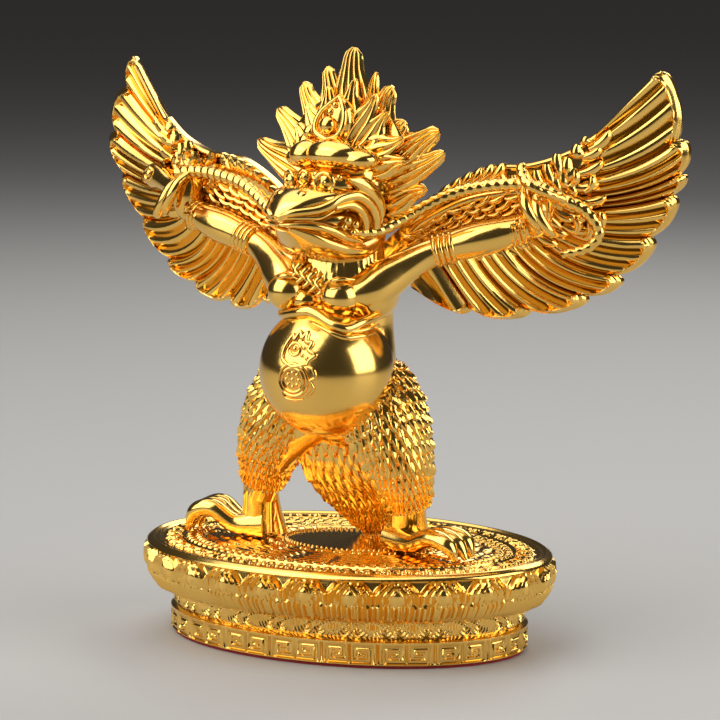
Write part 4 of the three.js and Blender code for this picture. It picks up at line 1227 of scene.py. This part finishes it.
def keep_whole_body(piece):
    """Leaves only the largest connected skin, so no crumb or sealed pocket stays."""
    mesh = piece.data
    count = len(mesh.vertices)
    edges = np.empty(len(mesh.edges) * 2, dtype=np.int64)
    mesh.edges.foreach_get("vertices", edges)
    edges = edges.reshape(-1, 2)
    label = np.arange(count)
    while True:
        lower = np.minimum(label[edges[:, 0]], label[edges[:, 1]])
        spread = label.copy()
        np.minimum.at(spread, edges[:, 0], lower)
        np.minimum.at(spread, edges[:, 1], lower)
        spread = spread[spread]
        if np.array_equal(spread, label):
            break
        label = spread
    largest = np.bincount(label).argmax()
    work = bmesh.new()
    work.from_mesh(mesh)
    work.verts.ensure_lookup_table()
    crumbs = [work.verts[i] for i in np.flatnonzero(label != largest)]
    bmesh.ops.delete(work, geom=crumbs, context="VERTS")
    work.to_mesh(mesh)
    work.free()


def limit_triangles(piece, most):
    """Thins the flattest places until the piece has no more triangles than the limit."""
    triangles = sum(len(face.vertices) - 2 for face in piece.data.polygons)
    if triangles <= most:
        return
    modifier = piece.modifiers.new("thin", "DECIMATE")
    modifier.ratio = most / triangles
    modifier.use_collapse_triangulate = True
    apply_modifiers([piece])
    remove_fins(piece.data)


def remove_fins(mesh):
    """Takes off the single faces that thinning leaves standing on an edge of the closed skin."""
    work = bmesh.new()
    work.from_mesh(mesh)
    while True:
        fins = [face for face in work.faces if any(edge.is_boundary for edge in face.edges)]
        if not fins:
            break
        bmesh.ops.delete(work, geom=fins, context="FACES")
    work.to_mesh(mesh)
    work.free()


def finish_shading(piece, material, sharp_degrees):
    mesh = piece.data
    mesh.materials.clear()
    mesh.materials.append(material)
    mesh.shade_smooth()
    mesh.set_sharp_from_angle(angle=math.radians(sharp_degrees))


def garuda_solids():
    """Every closed solid of the figure, in the order in which they are joined."""
    solids = [trunk()] + belly() + chest() + legs() + tail()
    solids += skull() + beak() + eyes() + crown()
    for side in (-1, 1):
        solids += cheek(side) + [wing_slab(side), leading_rim(side)] + covert_rows(side)
        solids += arm(side) + hand(side) + snake(side)
    return solids + snake_loop() + snake_head()


# Materials

GOLD_DEEP = (0.95, 0.57, 0.125, 1)
GOLD_PALE = (1.0, 0.635, 0.165, 1)
GOLD_PATCH_SCALE = 60
GOLD_GRAIN_SCALE = 420
GOLD_ROUGHNESS = (0.12, 0.2)
GRAIN_STRENGTH = 0.11
GRAIN_DEPTH = 0.0002
FELT_DARK = (0.18, 0.012, 0.014, 1)
FELT_LIGHT = (0.42, 0.03, 0.03, 1)
FELT_FIBRE_SCALE = 900
FELT_ROUGHNESS = 0.95
FLOOR_COLOUR = (0.46, 0.45, 0.43, 1)
FLOOR_ROUGHNESS = 0.6


def new_material(name):
    material = bpy.data.materials.new(name)
    material.use_nodes = True
    return material, material.node_tree, material.node_tree.nodes["Principled BSDF"]


def noise(tree, coordinates, scale, detail):
    """The strength of a noise over the piece's own coordinates."""
    node = tree.nodes.new("ShaderNodeTexNoise")
    node.inputs["Scale"].default_value = scale
    node.inputs["Detail"].default_value = detail
    tree.links.new(coordinates.outputs["Object"], node.inputs["Vector"])
    return node.outputs["Fac"]


def blend_colours(tree, share, first, second):
    """A ramp node that runs from the first colour to the second."""
    tone = tree.nodes.new("ShaderNodeValToRGB")
    tone.color_ramp.elements[0].color = first
    tone.color_ramp.elements[1].color = second
    tree.links.new(share, tone.inputs["Fac"])
    return tone


def gold_material():
    """Polished plating: soft patches of tone and gloss, and a faint cast grain."""
    material, tree, shader = new_material("polished_gold")
    coordinates = tree.nodes.new("ShaderNodeTexCoord")
    patches = noise(tree, coordinates, GOLD_PATCH_SCALE, 4)
    grain = noise(tree, coordinates, GOLD_GRAIN_SCALE, 3)
    tone = blend_colours(tree, patches, GOLD_DEEP, GOLD_PALE)
    tone.color_ramp.elements[0].position = 0.3
    tone.color_ramp.elements[1].position = 0.75
    gloss = tree.nodes.new("ShaderNodeMapRange")
    gloss.inputs["To Min"].default_value = GOLD_ROUGHNESS[0]
    gloss.inputs["To Max"].default_value = GOLD_ROUGHNESS[1]
    bump = tree.nodes.new("ShaderNodeBump")
    bump.inputs["Strength"].default_value = GRAIN_STRENGTH
    bump.inputs["Distance"].default_value = GRAIN_DEPTH
    shader.inputs["Metallic"].default_value = 1.0
    tree.links.new(patches, gloss.inputs["Value"])
    tree.links.new(grain, bump.inputs["Height"])
    tree.links.new(tone.outputs["Color"], shader.inputs["Base Color"])
    tree.links.new(gloss.outputs["Result"], shader.inputs["Roughness"])
    tree.links.new(bump.outputs["Normal"], shader.inputs["Normal"])
    return material


def felt_material():
    material, tree, shader = new_material("red_felt")
    coordinates = tree.nodes.new("ShaderNodeTexCoord")
    fibres = noise(tree, coordinates, FELT_FIBRE_SCALE, 5)
    tone = blend_colours(tree, fibres, FELT_DARK, FELT_LIGHT)
    shader.inputs["Roughness"].default_value = FELT_ROUGHNESS
    tree.links.new(tone.outputs["Color"], shader.inputs["Base Color"])
    return material


def floor_material():
    material, _, shader = new_material("pale_floor")
    shader.inputs["Base Color"].default_value = FLOOR_COLOUR
    shader.inputs["Roughness"].default_value = FLOOR_ROUGHNESS
    return material


# Stage

CAMERA_AZIMUTH = math.radians(24.3)
CAMERA_ELEVATION = math.radians(8.6)
CAMERA_DISTANCE = 0.7
CAMERA_LENS = 148.6
CAMERA_SHIFT = 0.00308
CAMERA_TARGET = (CAMERA_SHIFT * math.cos(CAMERA_AZIMUTH), CAMERA_SHIFT * math.sin(CAMERA_AZIMUTH), 0.0666)
LIGHT_TARGET = (0, 0, 0.07)
STUDIO_COLOUR = (0.045, 0.043, 0.042, 1)
FLOOR_HALF_WIDTH = 12


def place_camera():
    data = bpy.data.cameras.new("camera")
    data.lens = CAMERA_LENS
    data.sensor_width = 36
    camera = bpy.data.objects.new("camera", data)
    back = np.array([math.sin(CAMERA_AZIMUTH) * math.cos(CAMERA_ELEVATION),
                     -math.cos(CAMERA_AZIMUTH) * math.cos(CAMERA_ELEVATION), math.sin(CAMERA_ELEVATION)])
    camera.location = np.array(CAMERA_TARGET) + back * CAMERA_DISTANCE
    camera.rotation_euler = (math.pi / 2 - CAMERA_ELEVATION, 0, CAMERA_AZIMUTH)
    bpy.context.scene.collection.objects.link(camera)
    bpy.context.scene.camera = camera


def area_light(name, location, size, power):
    data = bpy.data.lights.new(name, "AREA")
    data.shape = "RECTANGLE"
    data.size, data.size_y = size
    data.energy = power
    light = bpy.data.objects.new(name, data)
    light.location = location
    direction = np.array(LIGHT_TARGET, float) - np.array(location, float)
    distance = np.linalg.norm(direction)
    tilt = math.acos(-direction[2] / distance)
    light.rotation_euler = (tilt, 0, math.atan2(direction[0], -direction[1]) + math.pi)
    bpy.context.scene.collection.objects.link(light)


def stage():
    """The pale floor, the dim studio round it and four soft boxes."""
    bpy.context.scene.view_settings.view_transform = "Standard"
    mesh = bpy.data.meshes.new("floor")
    half = FLOOR_HALF_WIDTH
    corners = [(-half, -half, 0), (half, -half, 0), (half, half, 0), (-half, half, 0)]
    mesh.from_pydata(corners, [], [(0, 1, 2, 3)])
    floor = bpy.data.objects.new("floor", mesh)
    mesh.materials.append(floor_material())
    bpy.context.scene.collection.objects.link(floor)
    world = bpy.data.worlds.new("studio")
    world.use_nodes = True
    world.node_tree.nodes["Background"].inputs["Color"].default_value = STUDIO_COLOUR
    bpy.context.scene.world = world
    area_light("left_box", (-0.42, -0.56, 0.6), (1.0, 1.05), 7.6)
    area_light("right_box", (0.76, 0.02, 0.36), (0.6, 0.62), 3.6)
    area_light("top_box", (-0.2, 0.05, 0.9), (1.0, 1.0), 5)
    area_light("back_box", (0.05, 0.7, 0.55), (0.7, 0.3), 2)


TRIANGLE_LIMIT = 192000
FIGURE_CREASE_DEGREES = 38
PLINTH_CREASE_DEGREES = 50

place_camera()
stage()
gold = gold_material()
felt = felt_material()

figure = join_solids("garuda_cast", garuda_solids(), SOLE_LEVEL)
cut_flat(figure, SOLE_LEVEL)
keep_whole_body(figure)
limit_triangles(figure, TRIANGLE_LIMIT)
finish_shading(figure, gold, FIGURE_CREASE_DEGREES)
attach(figure, "root")
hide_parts("garuda_figure")

plinth = join_solids("lotus_plinth_cast", plinth_solids(), PLINTH_BOTTOM)
keep_whole_body(plinth)
limit_triangles(plinth, TRIANGLE_LIMIT)
finish_shading(plinth, gold, PLINTH_CREASE_DEGREES)
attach(plinth, "root")
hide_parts("lotus_plinth")

felt_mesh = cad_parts["felt_pad"].data
felt_mesh.materials.clear()
felt_mesh.materials.append(felt)
